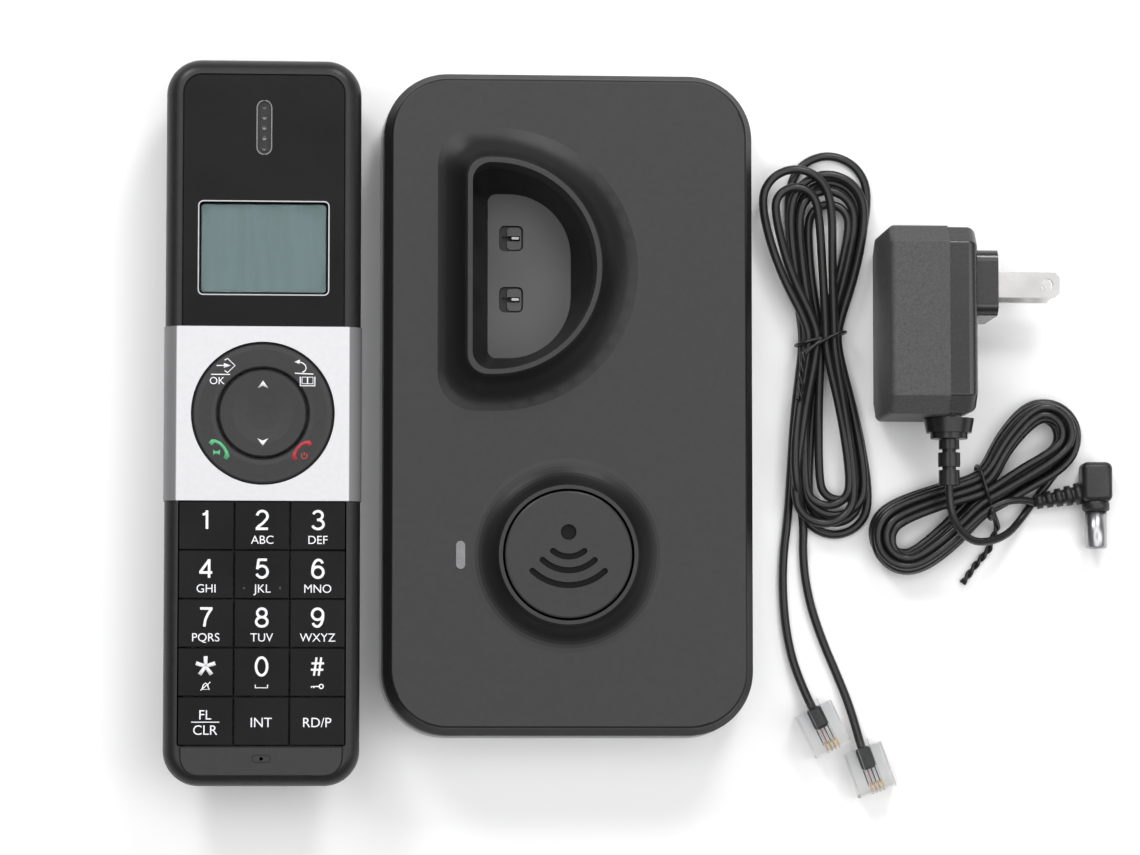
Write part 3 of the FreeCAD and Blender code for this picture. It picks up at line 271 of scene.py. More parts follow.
def base_charcoal():
    """Grained charcoal top; painted shade makes the flares, shoulder and skirt darker and less shiny, and
    painted light makes the pocket floor paler.
    """
    m = moulded("base_charcoal", grey(0.019), grey(0.023), 0.40, 0.35, 6000.0)
    z = object_axis(m, "Z")
    square = pocket_distance_squared(m)
    low = step_mask(m, z, SHOULDER_TOP + 0.1 * MM, SHOULDER_TOP - 0.3 * MM)
    outside = step_mask(m, square, (POCKET_REACH - MM) ** 2, POCKET_REACH ** 2)
    skirt = math_node(m, "MULTIPLY", low, outside)
    # painted shade: the skirt below the shoulder is painted darker
    paint_over(m, skirt, grey(SKIRT_PAINTED_SHADE))
    slanted = slant_mask(m)
    # painted shade: slanting faces, such as the flares and the shoulder, are painted darker
    paint_over(m, slanted, grey(SLANT_PAINTED_SHADE))
    near = step_mask(m, square, POCKET_REACH ** 2, (POCKET_REACH - MM) ** 2)
    low_enough = step_mask(m, z, POCKET_FLOOR + 0.4 * MM, POCKET_FLOOR + 0.1 * MM)
    high_enough = step_mask(m, z, POCKET_FLOOR - 0.4 * MM, POCKET_FLOOR - 0.1 * MM)
    floor = math_node(m, "MULTIPLY", near, math_node(m, "MULTIPLY", low_enough, high_enough))
    # painted light: the pocket floor is painted paler than the top around it
    paint_over(m, floor, grey(POCKET_FLOOR_PAINTED_LIGHT))
    # less shine on the skirt and the slants, as part of the same painted shade
    shade_shine_cut = math_node(m, "MAXIMUM", skirt, math_node(m, "MULTIPLY", slanted, SLANT_SHADE_SHINE_CUT))
    lower_shine(m, shade_shine_cut, 0.12)
    return m


def button_charcoal():
    """Like the base's top, with the ground in the sunk wave sign painted darker and less shiny: painted
    shade in the recess.
    """
    m = moulded("button_charcoal", grey(0.019), grey(0.023), 0.42, 0.30, 6000.0)
    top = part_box("page_button")[1].z
    mask = step_mask(m, object_axis(m, "Z"), top - 0.15 * MM, top - 0.3 * MM)
    # painted shade in the sunk wave sign
    paint_over(m, mask, grey(0.005))
    lower_shine(m, mask, 0.15)
    return m


def contact_grey():
    """Grey tops on the contact pads; everything below them is painted black: painted shade round the pads.
    """
    m = moulded("contact_grey", grey(0.085), grey(0.100), 0.4, 0.1)
    mask = step_mask(m, object_axis(m, "Z"), CONTACT_TOP - 0.05 * MM, CONTACT_TOP - 0.15 * MM)
    # painted shade: black below the pad tops
    paint_over(m, mask, grey(0.003))
    return m


def adapter_grain():
    """Coarse spark-eroded grain: small light and dark specks over charcoal."""
    m = moulded("adapter_texture", grey(0.040), grey(0.070), 0.5, 0.8, 2200.0)
    m.node_tree.nodes["Noise Texture"].inputs["Scale"].default_value = 1900.0
    return m


MATERIALS = {
    "handset_plastic": moulded("handset_satin", grey(0.011), grey(0.015), 0.36, 0.10, specular=0.4),
    "gloss_black": gloss("face_gloss", grey(0.008), grey(0.011), 0.12, 0.3, 0.4),
    "key_gloss": gloss("key_gloss_black", grey(0.008), grey(0.011), 0.14, 0.3, 0.4),
    "grille_plastic": gloss("grille_black", grey(0.008), grey(0.012), 0.3),
    "chin_plastic": moulded("chin_satin", grey(0.016), grey(0.020), 0.4, 0.12),
    "silver_plastic": band_silver(),
    "ring_plastic": moulded("ring_charcoal", grey(0.016), grey(0.020), 0.38, 0.10),
    "silver_plastic_base": moulded("base_silver", grey(0.50), grey(0.55), 0.32, 0.1),
    "base_plastic": base_charcoal(),
    "base_button_plastic": button_charcoal(),
    "light_pipe": moulded("lens_frost", grey(0.20), grey(0.24), 0.3, 0.05),
    "contact_plastic": contact_grey(),
    "jack_plastic": moulded("jack_black", grey(0.012), grey(0.018), 0.4, 0.1),
    "adapter_plastic": adapter_grain(),
    "adapter_gloss": gloss("adapter_cover_gloss", grey(0.014), grey(0.020), 0.26, 0.3),
    "rubber_foot": moulded("foot_rubber", grey(0.015), grey(0.02), 0.8, 0.3),
    "elastomer": moulded("mat_elastomer", grey(0.2), grey(0.24), 0.7, 0.2),
    "circuit_board": moulded("board_green", (0.012, 0.10, 0.03), (0.018, 0.14, 0.045), 0.3, 0.1),
    "battery_wrap": moulded("cell_wrap", (0.03, 0.16, 0.08), (0.04, 0.2, 0.1), 0.25),
    "speaker_metal": metal("speaker_plate", grey(0.35), grey(0.45), 0.35),
    "steel_screw": metal("screw_zinc", grey(0.4), grey(0.5), 0.3),
    "nickel": metal("nickel_plate", (0.44, 0.435, 0.425), (0.54, 0.535, 0.525), 0.26, (1, 12, 1)),
    "gold_plate": metal("contact_gold", (0.80, 0.55, 0.22), (0.88, 0.64, 0.30), 0.22),
    "cord_black": moulded("cord_jacket", grey(0.011), grey(0.015), 0.30, 0.10),
    "lead_black": moulded("lead_jacket", grey(0.011), grey(0.015), 0.28, 0.10),
    "plug_black": moulded("plug_moulding", grey(0.014), grey(0.019), 0.38, 0.25),
    "tie_plastic": moulded("tie_jacket", grey(0.011), grey(0.014), 0.3, 0.1),
    "legend_white": moulded("print_white", grey(0.80), grey(0.86), 0.45),
    "legend_green": moulded("print_green", (0.09, 0.44, 0.19), (0.11, 0.50, 0.23), 0.45),
    "legend_red": moulded("print_red", (0.42, 0.030, 0.045), (0.48, 0.040, 0.055), 0.45),
}


def glass_window():
    m = new_material("window_clear", (0.95, 0.98, 0.98), 0.04, transmission=1.0, ior=1.2)
    vary_roughness(m, noise(m, 300.0), 0.03, 0.06)
    return m


def clear_plastic():
    m = new_material("plug_clear", (0.97, 0.975, 0.98), 0.06, transmission=1.0, ior=1.34)
    vary_roughness(m, noise(m, 800.0), 0.05, 0.14)
    return m


def display():
    """Reflective display: grey-green with very faint vertical streaks."""
    m = new_material("display_grey", (0.17, 0.22, 0.225), 0.3, coat=0.3)
    streaks = noise(m, 260.0, 4.0, 0.6, (1, 0.12, 1))
    vary_color(m, streaks, (0.162, 0.216, 0.218), (0.182, 0.240, 0.248))
    vary_roughness(m, noise(m, 900.0), 0.2, 0.3)
    return m


MATERIALS["lcd_glass"] = glass_window()
MATERIALS["clear_plastic"] = clear_plastic()
MATERIALS["lcd_panel"] = display()

for name, obj in NODES.items():
    obj.data.materials.clear()
    obj.data.materials.append(MATERIALS[SLOT_OF[name]])


# ---------------------------------------------------------------- making pieces
def add_piece(name, data, body, slot):
    """Object from mesh or curve data, in the row frame, riding on a body."""
    obj = bpy.data.objects.new(name, data)
    bpy.context.scene.collection.objects.link(obj)
    data.materials.append(MATERIALS[slot])
    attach(obj, body)
    return obj


def spline_curve(name, points, diameter, sides=5, resolution=6):
    """Round cord along one open NURBS spline."""
    data = bpy.data.curves.new(name, "CURVE")
    data.dimensions = "3D"
    data.bevel_depth = diameter / 2
    data.bevel_resolution = sides
    data.use_fill_caps = True
    spline = data.splines.new("NURBS")
    spline.points.add(len(points) - 1)
    for point, place in zip(spline.points, points):
        point.co = (*place, 1.0)
    spline.order_u = 3
    spline.use_endpoint_u = True
    spline.resolution_u = resolution
    return data


def curve_mesh(data):
    """Mesh of a curve or text, which is then removed."""
    obj = bpy.data.objects.new("scratch", data)
    bpy.context.scene.collection.objects.link(obj)
    bpy.context.view_layer.update()
    graph = bpy.context.evaluated_depsgraph_get()
    mesh = bpy.data.meshes.new_from_object(obj.evaluated_get(graph))
    bpy.data.objects.remove(obj)
    return mesh


def smooth(bm, angle=35.0):
    """Smooth faces with sharp edges past the angle."""
    for face in bm.faces:
        face.smooth = True
    for edge in bm.edges:
        if len(edge.link_faces) == 2 and edge.calc_face_angle(0.0) > math.radians(angle):
            edge.smooth = False


def mesh_piece(name, bm, body, slot, angle=35.0):
    smooth(bm, angle)
    bmesh.ops.recalc_face_normals(bm, faces=bm.faces)
    data = bpy.data.meshes.new(name)
    bm.to_mesh(data)
    bm.free()
    return add_piece(name, data, body, slot)


def revolved(bm, profile, place=Vector(), axis=Vector((0, 0, 1)), segments=48):
    """Closed solid of revolution from (radius, height) pairs, ends closed on the axis."""
    turn = Vector((0, 0, 1)).rotation_difference(axis).to_matrix()
    rings = []
    for r, h in profile:
        ring = []
        for i in range(segments):
            a = 2 * math.pi * i / segments
            ring.append(bm.verts.new(turn @ Vector((r * math.cos(a), r * math.sin(a), h)) + place))
        rings.append(ring)
    for low, high in zip(rings, rings[1:]):
        for i in range(segments):
            j = (i + 1) % segments
            bm.faces.new((low[i], low[j], high[j], high[i]))
    bm.faces.new(rings[0][::-1])
    bm.faces.new(rings[-1])


def rounded_block(bm, low, high, bevel, segments=3, turn=None, place=Vector()):
    """Box with rounded edges, turned about Z and moved."""
    made = bmesh.ops.create_cube(bm, size=1.0)
    size = Vector(high) - Vector(low)
    centre = (Vector(high) + Vector(low)) / 2
    for v in made["verts"]:
        v.co = Vector((v.co.x * size.x, v.co.y * size.y, v.co.z * size.z)) + centre
    edges = {e for v in made["verts"] for e in v.link_edges}
    result = bmesh.ops.bevel(bm, geom=list(edges), offset=bevel, segments=segments, profile=0.5,
                             affect="EDGES")
    verts = set(result["verts"])
    for v in made["verts"]:
        if v.is_valid:
            verts.add(v)
    for v in verts:
        if turn is not None:
            v.co = turn @ v.co
        v.co += place


# ---------------------------------------------------------------- cords
LINE_D = 0.0022
LEAD_D = 0.0020

TAIL_A = [(0.0456, -0.0230, 0.0013), (0.0444, -0.0320, 0.0013), (0.0443, -0.0425, 0.0013),
          (0.0454, -0.0530, 0.0013), (0.0479, -0.0625, 0.0019), (0.0515, -0.0705, 0.0033)]
TAIL_B = [(0.0498, -0.0230, 0.0013), (0.0494, -0.0325, 0.0013), (0.0509, -0.0430, 0.0013),
          (0.0542, -0.0530, 0.0013), (0.0583, -0.0625, 0.0013), (0.0618, -0.0715, 0.0019),
          (0.0640, -0.0805, 0.0033)]
LEAD_START = [(0.08475, -0.0144, 0.0170), (0.0848, -0.0196, 0.0166), (0.0869, -0.0250, 0.0148),
              (0.0912, -0.0286, 0.0120), (0.0966, -0.0284, 0.0090)]
LEAD_END = (0.1086, -0.0180, 0.0034)


def layer_order(columns, inward, mirrored=False):
    """Order in which the strands of one flat layer follow each other, as a spiral."""
    order = []
    low, high = 0, columns - 1
    while low <= high:
        order.append(low)
        low += 1
        if low <= high:
            order.append(high)
            high -= 1
    if not inward:
        order.reverse()
    if mirrored:
        order = [columns - 1 - c for c in order]
    return order


def strands(layers, pitch, rise, floor):
    """(offset across the waist, height) of every strand in the order that the cord follows."""
    places = []
    for level, (columns, inward, mirrored) in enumerate(layers):
        for c in layer_order(columns, inward, mirrored):
            places.append(((c - (columns - 1) / 2) * pitch, floor + level * rise))
    return places


FOLD_SHARE = 0.62  # how far across a bowed strand still follows its half turn
BOW_ALONG = 0.52  # where it bows, as a share of the way to the half turn
CUT_IN = 0.925  # a spline of order 3 runs this far out between octagon corners


OCTAGON_HALF = 5  # corners of half an octagon


def fold_points(across, reach, radius, end, way, z0, z1):
    """Half turn whose far side is at reach; end is +1 or -1 along the hank."""
    r = radius / CUT_IN
    points = []
    for k in range(OCTAGON_HALF):
        share = k / (OCTAGON_HALF - 1)
        a = math.pi * share
        along = reach - end * radius + end * r * math.sin(a)
        points.append((across - way * r * math.cos(a), along, z0 + (z1 - z0) * share))
    return points


def bowed(turn_point, x, z, wander):
    """Point between a half turn and the tie, where a strand bows a little outwards."""
    across = FOLD_SHARE * turn_point[0] + (1 - FOLD_SHARE) * x + random.uniform(-wander, wander)
    return across, BOW_ALONG * turn_point[1], z


def hank(places, folds, grip, wander):
    """Points of a folded bundle in its own frame: across, along, height.

    places are the strands at the tie, folds the half turns between them as
    (middle across, reach along, radius), and grip half the length the tie holds straight.
    """
    points = []
    arrive = None
    for i, (x, z) in enumerate(places):
        end = 1 if i % 2 == 0 else -1
        if arrive:
            points.append(bowed(arrive, x, z, wander))
        points.append((x, -end * grip, z))
        points.append((x, end * grip, z))
        if i < len(folds):
            across, reach, radius = folds[i]
            next_z = places[i + 1][1]
            way = 1 if places[i + 1][0] > x or (places[i + 1][0] == x and across > x) else -1
            turn = fold_points(across, reach, radius, end, way, z, next_z)
            points.append(bowed(turn[0], x, z, wander))
            points.extend(turn)
            arrive = turn[-1]
    return points


FOLD_SLACK = 0.6  # mm


def nested_folds(places, pitch, least, ends):
    """Half turns that lie round each other; ends holds the lean and reach at +1 and -1."""
    folds = []
    for i in range(len(places) - 1):
        end = 1 if i % 2 == 0 else -1
        lean, reach = ends[end]
        x0, x1 = places[i][0], places[i + 1][0]
        radius = least + max(0.0, abs(x1 - x0) - pitch) / 2
        slack = random.uniform(-FOLD_SLACK, FOLD_SLACK) * MM
        out = reach + end * (radius - least) + end * random.uniform(-FOLD_SLACK, FOLD_SLACK) * MM
        folds.append(((x0 + x1) / 2 + lean + slack, out, radius))
    return folds


LINE_TIE = Vector((0.0540, 0.0235, 0.0))
# middle across, reach along and radius of each half turn, seen from the tie, in mm
LINE_FOLDS = [(2.4, 47.2, 9.9), (3.6, -49.8, 8.6), (2.6, 40.4, 7.4), (3.6, -46.8, 6.4),
              (2.4, 34.6, 5.0), (4.4, -41.0, 4.6), (1.8, 38.0, 7.0), (3.4, -45.0, 7.6),
              (2.0, 42.2, 9.3), (1.6, -42.6, 5.4), (-6.4, 38.6, 5.4), (0.6, -47.2, 7.4),
              (-6.4, 43.2, 8.6)]


def line_cord_points():
    """Plug, tail, the whole hank, tail and plug again."""
    places = strands([(5, True, False), (5, False, False), (4, False, False)], LINE_D, 2.15 * MM,
                     1.25 * MM)
    folds = [(a * MM, b * MM, r * MM) for a, b, r in LINE_FOLDS]
    inside = [tuple(Vector(p) + LINE_TIE) for p in hank(places, folds, 3.0 * MM, 0.3 * MM)]
    into = [(0.0464, -0.0120, 0.0013), (0.0474, 0.0040, 0.0013)]
    out = [(0.0484, 0.0080, 0.0058), (0.0466, -0.0060, 0.0076), (0.0474, -0.0150, 0.0064)]
    return TAIL_A[::-1] + into + inside + out + TAIL_B


LEAD_TIE = Vector((0.0956, -0.0156, 0.0))
LEAD_LEAN = math.radians(27.5 - 90.0)  # along is +Y before this turn
LEAD_PITCH = 1.95 * MM  # strands press together a little
LEAD_ENDS = {1: (-5.6 * MM, 25.0 * MM), -1: (0.9 * MM, -27.6 * MM)}


def lead_points():
    """Strain relief, down to the table, the whole hank and the barrel plug's relief."""
    layers = [(6, True, True), (6, False, True), (6, True, False), (5, False, True)]
    places = strands(layers, LEAD_PITCH, LEAD_PITCH, 1.15 * MM)
    folds = nested_folds(places, LEAD_PITCH, 4.6 * MM, LEAD_ENDS)
    turn = Matrix.Rotation(LEAD_LEAN, 3, "Z")
    inside = []
    for p in hank(places, folds, 2.5 * MM, 0.25 * MM):
        inside.append(tuple(turn @ Vector(p) + LEAD_TIE))
    drop = [(0.1012, -0.0264, 0.0062), (0.1046, -0.0232, 0.0030), (0.1080, -0.0188, 0.0012),
            (0.1110, -0.0150, 0.00115)]
    end = [(0.1040, -0.0168, 0.0058), LEAD_END]
    return LEAD_START + drop + inside[3:-1] + end


def lay_cords():
    line = add_piece("line_cord", spline_curve("line_cord", line_cord_points(), LINE_D), "base",
                     "cord_black")
    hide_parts("line_cord_hank", "line_cord_tail_a", "line_cord_tail_b")
    lead = add_piece("adapter_lead", spline_curve("adapter_lead", lead_points(), LEAD_D), "base",
                     "lead_black")
    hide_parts("lead_hank", "lead_start")
    return line, lead


TIE_WIRE = 0.9 * MM
TWIST_R = 0.56  # of the wire's diameter
STEPS_PER_TWIST = 8


def wire_tie(name, loop, tail, wire, turns):
    """Twist tie: one wire up the tail, round the bundle and back, its ends twisted together."""
    points = []
    count = STEPS_PER_TWIST * turns
    for half in (0, 1):
        for k in range(count + 1):
            t = k / count if half == 0 else 1 - k / count
            place = t * (len(tail) - 1)
            i = min(int(place), len(tail) - 2)
            spot = Vector(tail[i]).lerp(Vector(tail[i + 1]), place - i)
            ahead = (Vector(tail[i + 1]) - Vector(tail[i])).normalized()
            side = ahead.cross(Vector((0, 0, 1))).normalized()
            a = 2 * math.pi * turns * t + math.pi * half
            points.append(spot + (side * math.cos(a) + side.cross(ahead) * math.sin(a)) * wire * TWIST_R)
        if half == 0:
            points.extend(Vector(p) for p in loop)
    return add_piece(name, spline_curve(name, points, wire, 3, 4), "base", "tie_plastic")


def bundle_loop(tie, lean, half_w, top, skew):
    """Round a bundle at its tie, from the near side of its top and back."""
    turn = Matrix.Rotation(lean, 3, "Z")
    ring = [(0.55, 1.06), (0.95, 0.93), (1.12, 0.5), (0.95, 0.05), (0.3, 0.02), (-0.3, 0.02),
            (-0.95, 0.05), (-1.12, 0.5), (-0.95, 0.93), (-0.4, 1.06), (0.1, 1.08)]
    return [turn @ Vector((x * half_w, x * skew, max(z * top, 0.5 * MM))) + tie for x, z in ring]


def twist_ties():
    loop = bundle_loop(LINE_TIE, 0.0, 5.9 * MM, 7.4 * MM, 1.6 * MM)[::-1]
    tail = [(0.0480, 0.0075, 0.0080), (0.0484, 0.0140, 0.0082), (0.0492, 0.0196, 0.0082)]
    first = wire_tie("line_cord_tie", loop, tail, TIE_WIRE, 2)
    loop = bundle_loop(LEAD_TIE, LEAD_LEAN, 6.4 * MM, 8.9 * MM, -1.4 * MM)
    tail = [(0.0905, -0.0385, 0.0010), (0.0938, -0.0340, 0.0010), (0.0972, -0.0300, 0.0012),
            (0.0994, -0.0240, 0.0022)]
    second = wire_tie("lead_tie", loop, tail, TIE_WIRE, 3)
    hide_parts("cord_ties")
    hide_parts("cord_ties")
    return first, second


PLUG_TILT = {"a": 26.6, "b": 20.0}  # degrees, as the CAD plugs lie
PIN_PITCH = 1.02  # mm
PIN_X = [PIN_PITCH * (i - 1.5) for i in range(4)]
# slot and pins of the conductors, by the name of their piece
CONDUCTORS = {"red": ("legend_red", (1,)), "dark": ("cord_black", (0, 2, 3))}


def plug_strips(xs, half_w, y_range, z_range, bevel, segments, turn, place):
    """Narrow blocks along the plug, one at each x in mm."""
    bm = bmesh.new()
    for x in xs:
        low = Vector((x - half_w, y_range[0], z_range[0])) * MM
        high = Vector((x + half_w, y_range[1], z_range[1])) * MM
        rounded_block(bm, low, high, bevel * MM, segments, turn, place)
    return bm


def plug_insides(which, end):
    """Jacket end, four conductors and four gold blades inside a clear line plug."""
    turn = Matrix.Rotation(math.radians(PLUG_TILT[which]), 3, "Z")
    place = Vector((end[0], end[1], 0))
    bm = plug_strips([0.0], 1.9, (-5.6, 0.2), (2.3, 4.5), 0.9, 3, turn, place)
    made = [mesh_piece("plug_jacket_" + which, bm, "base", "cord_black")]
    for name, (slot, pins) in CONDUCTORS.items():
        bm = plug_strips([PIN_X[i] for i in pins], 0.16, (-9.8, -5.5), (2.0, 2.35), 0.12, 2, turn, place)
        made.append(mesh_piece("plug_wires_" + name + "_" + which, bm, "base", slot))
    bm = plug_strips(PIN_X, 0.15, (-11.2, -9.0), (3.8, 6.1), 0.05, 1, turn, place)
    made.append(mesh_piece("plug_blades_" + which, bm, "base", "gold_plate"))
    return made


BARREL_CENTRE = Vector((0.1244, -0.0130, 0.0041))
BARREL_LOW = Vector((-3.9, -5.0, -3.9)) * MM
BARREL_HIGH = Vector((3.9, 5.2, 3.9)) * MM
BARREL_DOWN = Vector((0, -1, 0))
SLEEVE_R, SLEEVE_INSIDE_R = 2.75, 2.35  # mm
RELIEF_RIBS = 5


def in_mm(pairs):
    """Profile in metres from (radius, height) pairs in mm."""
    return [(r * MM, h * MM) for r, h in pairs]


def comb_relief(bm):
    """Ribbed cone from the end of the lead to the side of the barrel plug."""
    start = Vector(LEAD_END)
    axis = BARREL_CENTRE + Vector((-3.4, -2.6, 0)) * MM - start
    length = axis.length / MM
    profile = [(1.25, -0.2)]
    for i in range(RELIEF_RIBS):
        h = length * (i + 0.25) / RELIEF_RIBS
        r = 1.9 + 0.22 * i
        core = 1.3 + 0.18 * i
        thick = length / RELIEF_RIBS * 0.55
        profile += [(core, h - 0.08), (r, h), (r, h + thick), (core + 0.1, h + thick + 0.08)]
    profile += [(2.5, length * 0.97), (2.6, length + 1.0)]
    revolved(bm, in_mm(profile), start, axis.normalized(), 28)


def barrel_plug():
    """Right-angle plug moulding with a comb relief, and its metal sleeve."""
    nose = BARREL_CENTRE + Vector((0, -4.6, 0)) * MM
    length = (nose.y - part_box("dc_plug")[0].y) / MM
    bm = bmesh.new()
    rounded_block(bm, BARREL_LOW, BARREL_HIGH, 1.7 * MM, 5, None, BARREL_CENTRE)
    comb_relief(bm)
    shoulder = [(3.2, 0), (3.5, 0.5), (3.5, 2.2), (3.2, 2.6)]
    revolved(bm, in_mm(shoulder), nose, BARREL_DOWN, 40)
    body = mesh_piece("barrel_plug_body", bm, "base", "plug_black", 40.0)
    outer, inner = SLEEVE_R, SLEEVE_INSIDE_R
    tube = [(outer, 2.0), (outer, length - 0.35), (outer - 0.2, length - 0.05), (inner, length - 0.05),
            (inner, length - 2.0)]
    bm = bmesh.new()
    revolved(bm, in_mm(tube), nose, BARREL_DOWN, 40)
    sleeve = mesh_piece("barrel_plug_sleeve", bm, "base", "steel_screw", 40.0)
    core = [(inner, length - 3.0), (inner - 0.05, length - 0.5), (1.2, length - 0.4), (1.1, length - 2.6)]
    bm = bmesh.new()
    revolved(bm, in_mm(core), nose, BARREL_DOWN, 32)
    tip = mesh_piece("barrel_plug_insulator", bm, "base", "plug_black", 40.0)
    for piece in (body, sleeve, tip):
        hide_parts("dc_plug")
    return [body, sleeve, tip]


LINE_CORD, LEAD = lay_cords()
LINE_TIE_PIECE, LEAD_TIE_PIECE = twist_ties()
LINE_PARTS = plug_insides("a", TAIL_A[-1]) + plug_insides("b", TAIL_B[-1])
[LEAD_TIE_PIECE] + barrel_plug()


# ---------------------------------------------------------------- prints on the keys
PRINT_T = 0.05 * MM
PRINT_SINK = 0.02 * MM


def flatten_into(bm, mesh, z, scale=1.0, move=(0.0, 0.0)):
    """Adds a mesh as a thin print whose underside is just under z."""
    heights = [v.co.z for v in mesh.vertices]
    low, tall = min(heights), max(heights) - min(heights)
    for v in mesh.vertices:
        v.co.x = v.co.x * scale + move[0]
        v.co.y = v.co.y * scale + move[1]
        v.co.z = z - PRINT_SINK + (v.co.z - low) / tall * PRINT_T
    bm.from_mesh(mesh)
    bpy.data.meshes.remove(mesh)


def letters(text):
    data = bpy.data.curves.new("letters", "FONT")
    data.body = text
    data.extrude = 0.02
    data.resolution_u = 5
    mesh = curve_mesh(data)
    bpy.data.curves.remove(data)
    return mesh


def text_into(bm, text, height, x, y, z):
    """Text of that capital height, centred at x, y."""
    mesh = letters(text)
    xs = [v.co.x for v in mesh.vertices]
    scale = height / CAPITAL
    flatten_into(bm, mesh, z, scale, (x - scale * (min(xs) + max(xs)) / 2, y - height / 2))


def stroke_into(bm, points, width, x, y, z, closed=False):
    """Line of even width through points in mm about x, y."""
    data = bpy.data.curves.new("stroke", "CURVE")
    data.dimensions = "3D"
    data.bevel_depth = width * MM / 2
    data.bevel_resolution = 2
    data.use_fill_caps = True
    spline = data.splines.new("POLY")
    spline.points.add(len(points) - 1)
    for point, place in zip(spline.points, points):
        point.co = (place[0] * MM, place[1] * MM, 0, 1)
    spline.use_cyclic_u = closed
    flatten_into(bm, curve_mesh(data), z, 1.0, (x, y))
    bpy.data.curves.remove(data)


def fill_into(bm, points, x, y, z):
    """Filled outline through points in mm about x, y."""
    low = [bm.verts.new((x + px * MM, y + py * MM, z - PRINT_SINK)) for px, py in points]
    top = [bm.verts.new((x + px * MM, y + py * MM, z - PRINT_SINK + PRINT_T)) for px, py in points]
    bm.faces.new(low[::-1])
    bm.faces.new(top)
    for i in range(len(points)):
        j = (i + 1) % len(points)
        bm.faces.new((low[i], low[j], top[j], top[i]))


def ring_points(radius, count=20, start=0.0, sweep=360.0):
    points = []
    for i in range(count):
        a = math.radians(start + sweep * i / (count if sweep == 360.0 else count - 1))
        points.append((radius * math.cos(a), radius * math.sin(a)))
    return points


def capital_height():
    mesh = letters("H")
    ys = [v.co.y for v in mesh.vertices]
    tall = max(ys) - min(ys)
    bpy.data.meshes.remove(mesh)
    return tall


CAPITAL = capital_height()
DIGIT_DOWN = 4.5 * MM  # below the key's top edge
LETTERS_DOWN, LETTERS_TALL = 9.4 * MM, 2.0 * MM
WORD_TALL = 2.3 * MM
KEY_LETTERS = {"1": "", "2": "ABC", "3": "DEF", "4": "GHI", "5": "JKL", "6": "MNO", "7": "PQRS",
               "8": "TUV", "9": "WXYZ", "0": ""}


def arc(x, y, across, tall, start, end, count=14):
    """Points of an elliptic arc, in degrees from +X."""
    points = []
    for i in range(count):
        a = math.radians(start + (end - start) * i / (count - 1))
        points.append((x + across * math.cos(a), y + tall * math.sin(a)))
    return points


SIX = [arc(0.10, 0.95, 1.12, 1.24, 18, 90, 7) + arc(0.10, -0.60, 1.42, 2.79, 97, 184, 12),
       arc(0.02, -0.84, 1.34, 1.35, 0, 360, 29)]
# middle lines of the digits, in mm about their middle
STROKES = {
    "1": [[(-0.95, 1.28), (-0.35, 1.42), (0.02, 1.78), (0.12, 2.19)], [(0.12, 2.3), (0.12, -2.28)]],
    "2": [arc(0.0, 0.92, 1.28, 1.27, 172, -30, 16) + [(0.1, -0.85), (-0.95, -1.6), (-1.32, -2.1)],
          [(-1.62, -2.19), (1.4, -2.19)]],
    "3": [arc(-0.05, 1.12, 1.16, 1.07, 162, -100, 17), arc(-0.02, -1.06, 1.38, 1.13, 98, -164, 19)],
    "4": [[(0.72, 2.3), (0.72, -2.28)], [(0.68, 2.05), (-1.5, -0.95)], [(-1.7, -0.98), (1.5, -0.98)]],
    "5": [[(1.2, 2.19), (-1.02, 2.19)], [(-0.82, 2.3), (-1.2, -0.15)],
          arc(-0.02, -0.76, 1.38, 1.43, 146, -160, 19)],
    "6": SIX,
    "7": [[(-1.42, 2.19), (1.62, 2.19)], [(1.32, 2.1), (0.45, 0.75), (-0.12, -0.6), (-0.42, -2.28)]],
    "8": [arc(0.0, 1.13, 1.13, 1.06, 0, 360, 25), arc(0.0, -1.05, 1.38, 1.14, 0, 360, 27)],
    "9": [[(-x, -y) for x, y in line] for line in SIX],
    "0": [arc(0.0, 0.0, 1.36, 2.19, 0, 360, 33)],
    "#": [[(-0.85, -2.25), (-0.22, 2.25)], [(0.3, -2.25), (0.93, 2.25)], [(-1.45, 0.78), (1.62, 0.78)],
          [(-1.62, -0.78), (1.45, -0.78)]],
}
DIGIT_WIDTH = 0.64
STROKE_WIDTH = {"#": 0.52}
SIGN_WIDTH = 0.26  # on the thumb ring


def digit_into(bm, digit, x, y, z):
    for line in STROKES[digit]:
        stroke_into(bm, line, STROKE_WIDTH.get(digit, DIGIT_WIDTH), x, y, z)


STAR_REACH, STAR_HALF, STAR_NOTCH = 2.5, 0.5, 0.74


def asterisk_into(bm, x, y, z):
    """Five-armed star with broad flat tips, one wedge-footed arm at a time."""
    foot = (STAR_NOTCH * math.cos(math.pi / 5), STAR_NOTCH * math.sin(math.pi / 5))
    arm = [(0, 0), (foot[0], -foot[1]), (STAR_REACH, -STAR_HALF), (STAR_REACH, STAR_HALF), foot]
    for k in range(5):
        a = math.pi / 2 + 2 * math.pi * k / 5
        c, s = math.cos(a), math.sin(a)
        fill_into(bm, [(px * c - py * s, px * s + py * c) for px, py in arm], x, y, z)


def crossed_bell_into(bm, x, y, z):
    dome = [(-0.95, -0.75), (-0.7, -0.35), (-0.55, 0.35), (0, 0.8), (0.55, 0.35), (0.7, -0.35),
            (0.95, -0.75)]
    stroke_into(bm, dome, 0.28, x, y, z, True)
    stroke_into(bm, [(-1.2, -1.0), (1.2, 1.05)], 0.24, x, y, z)


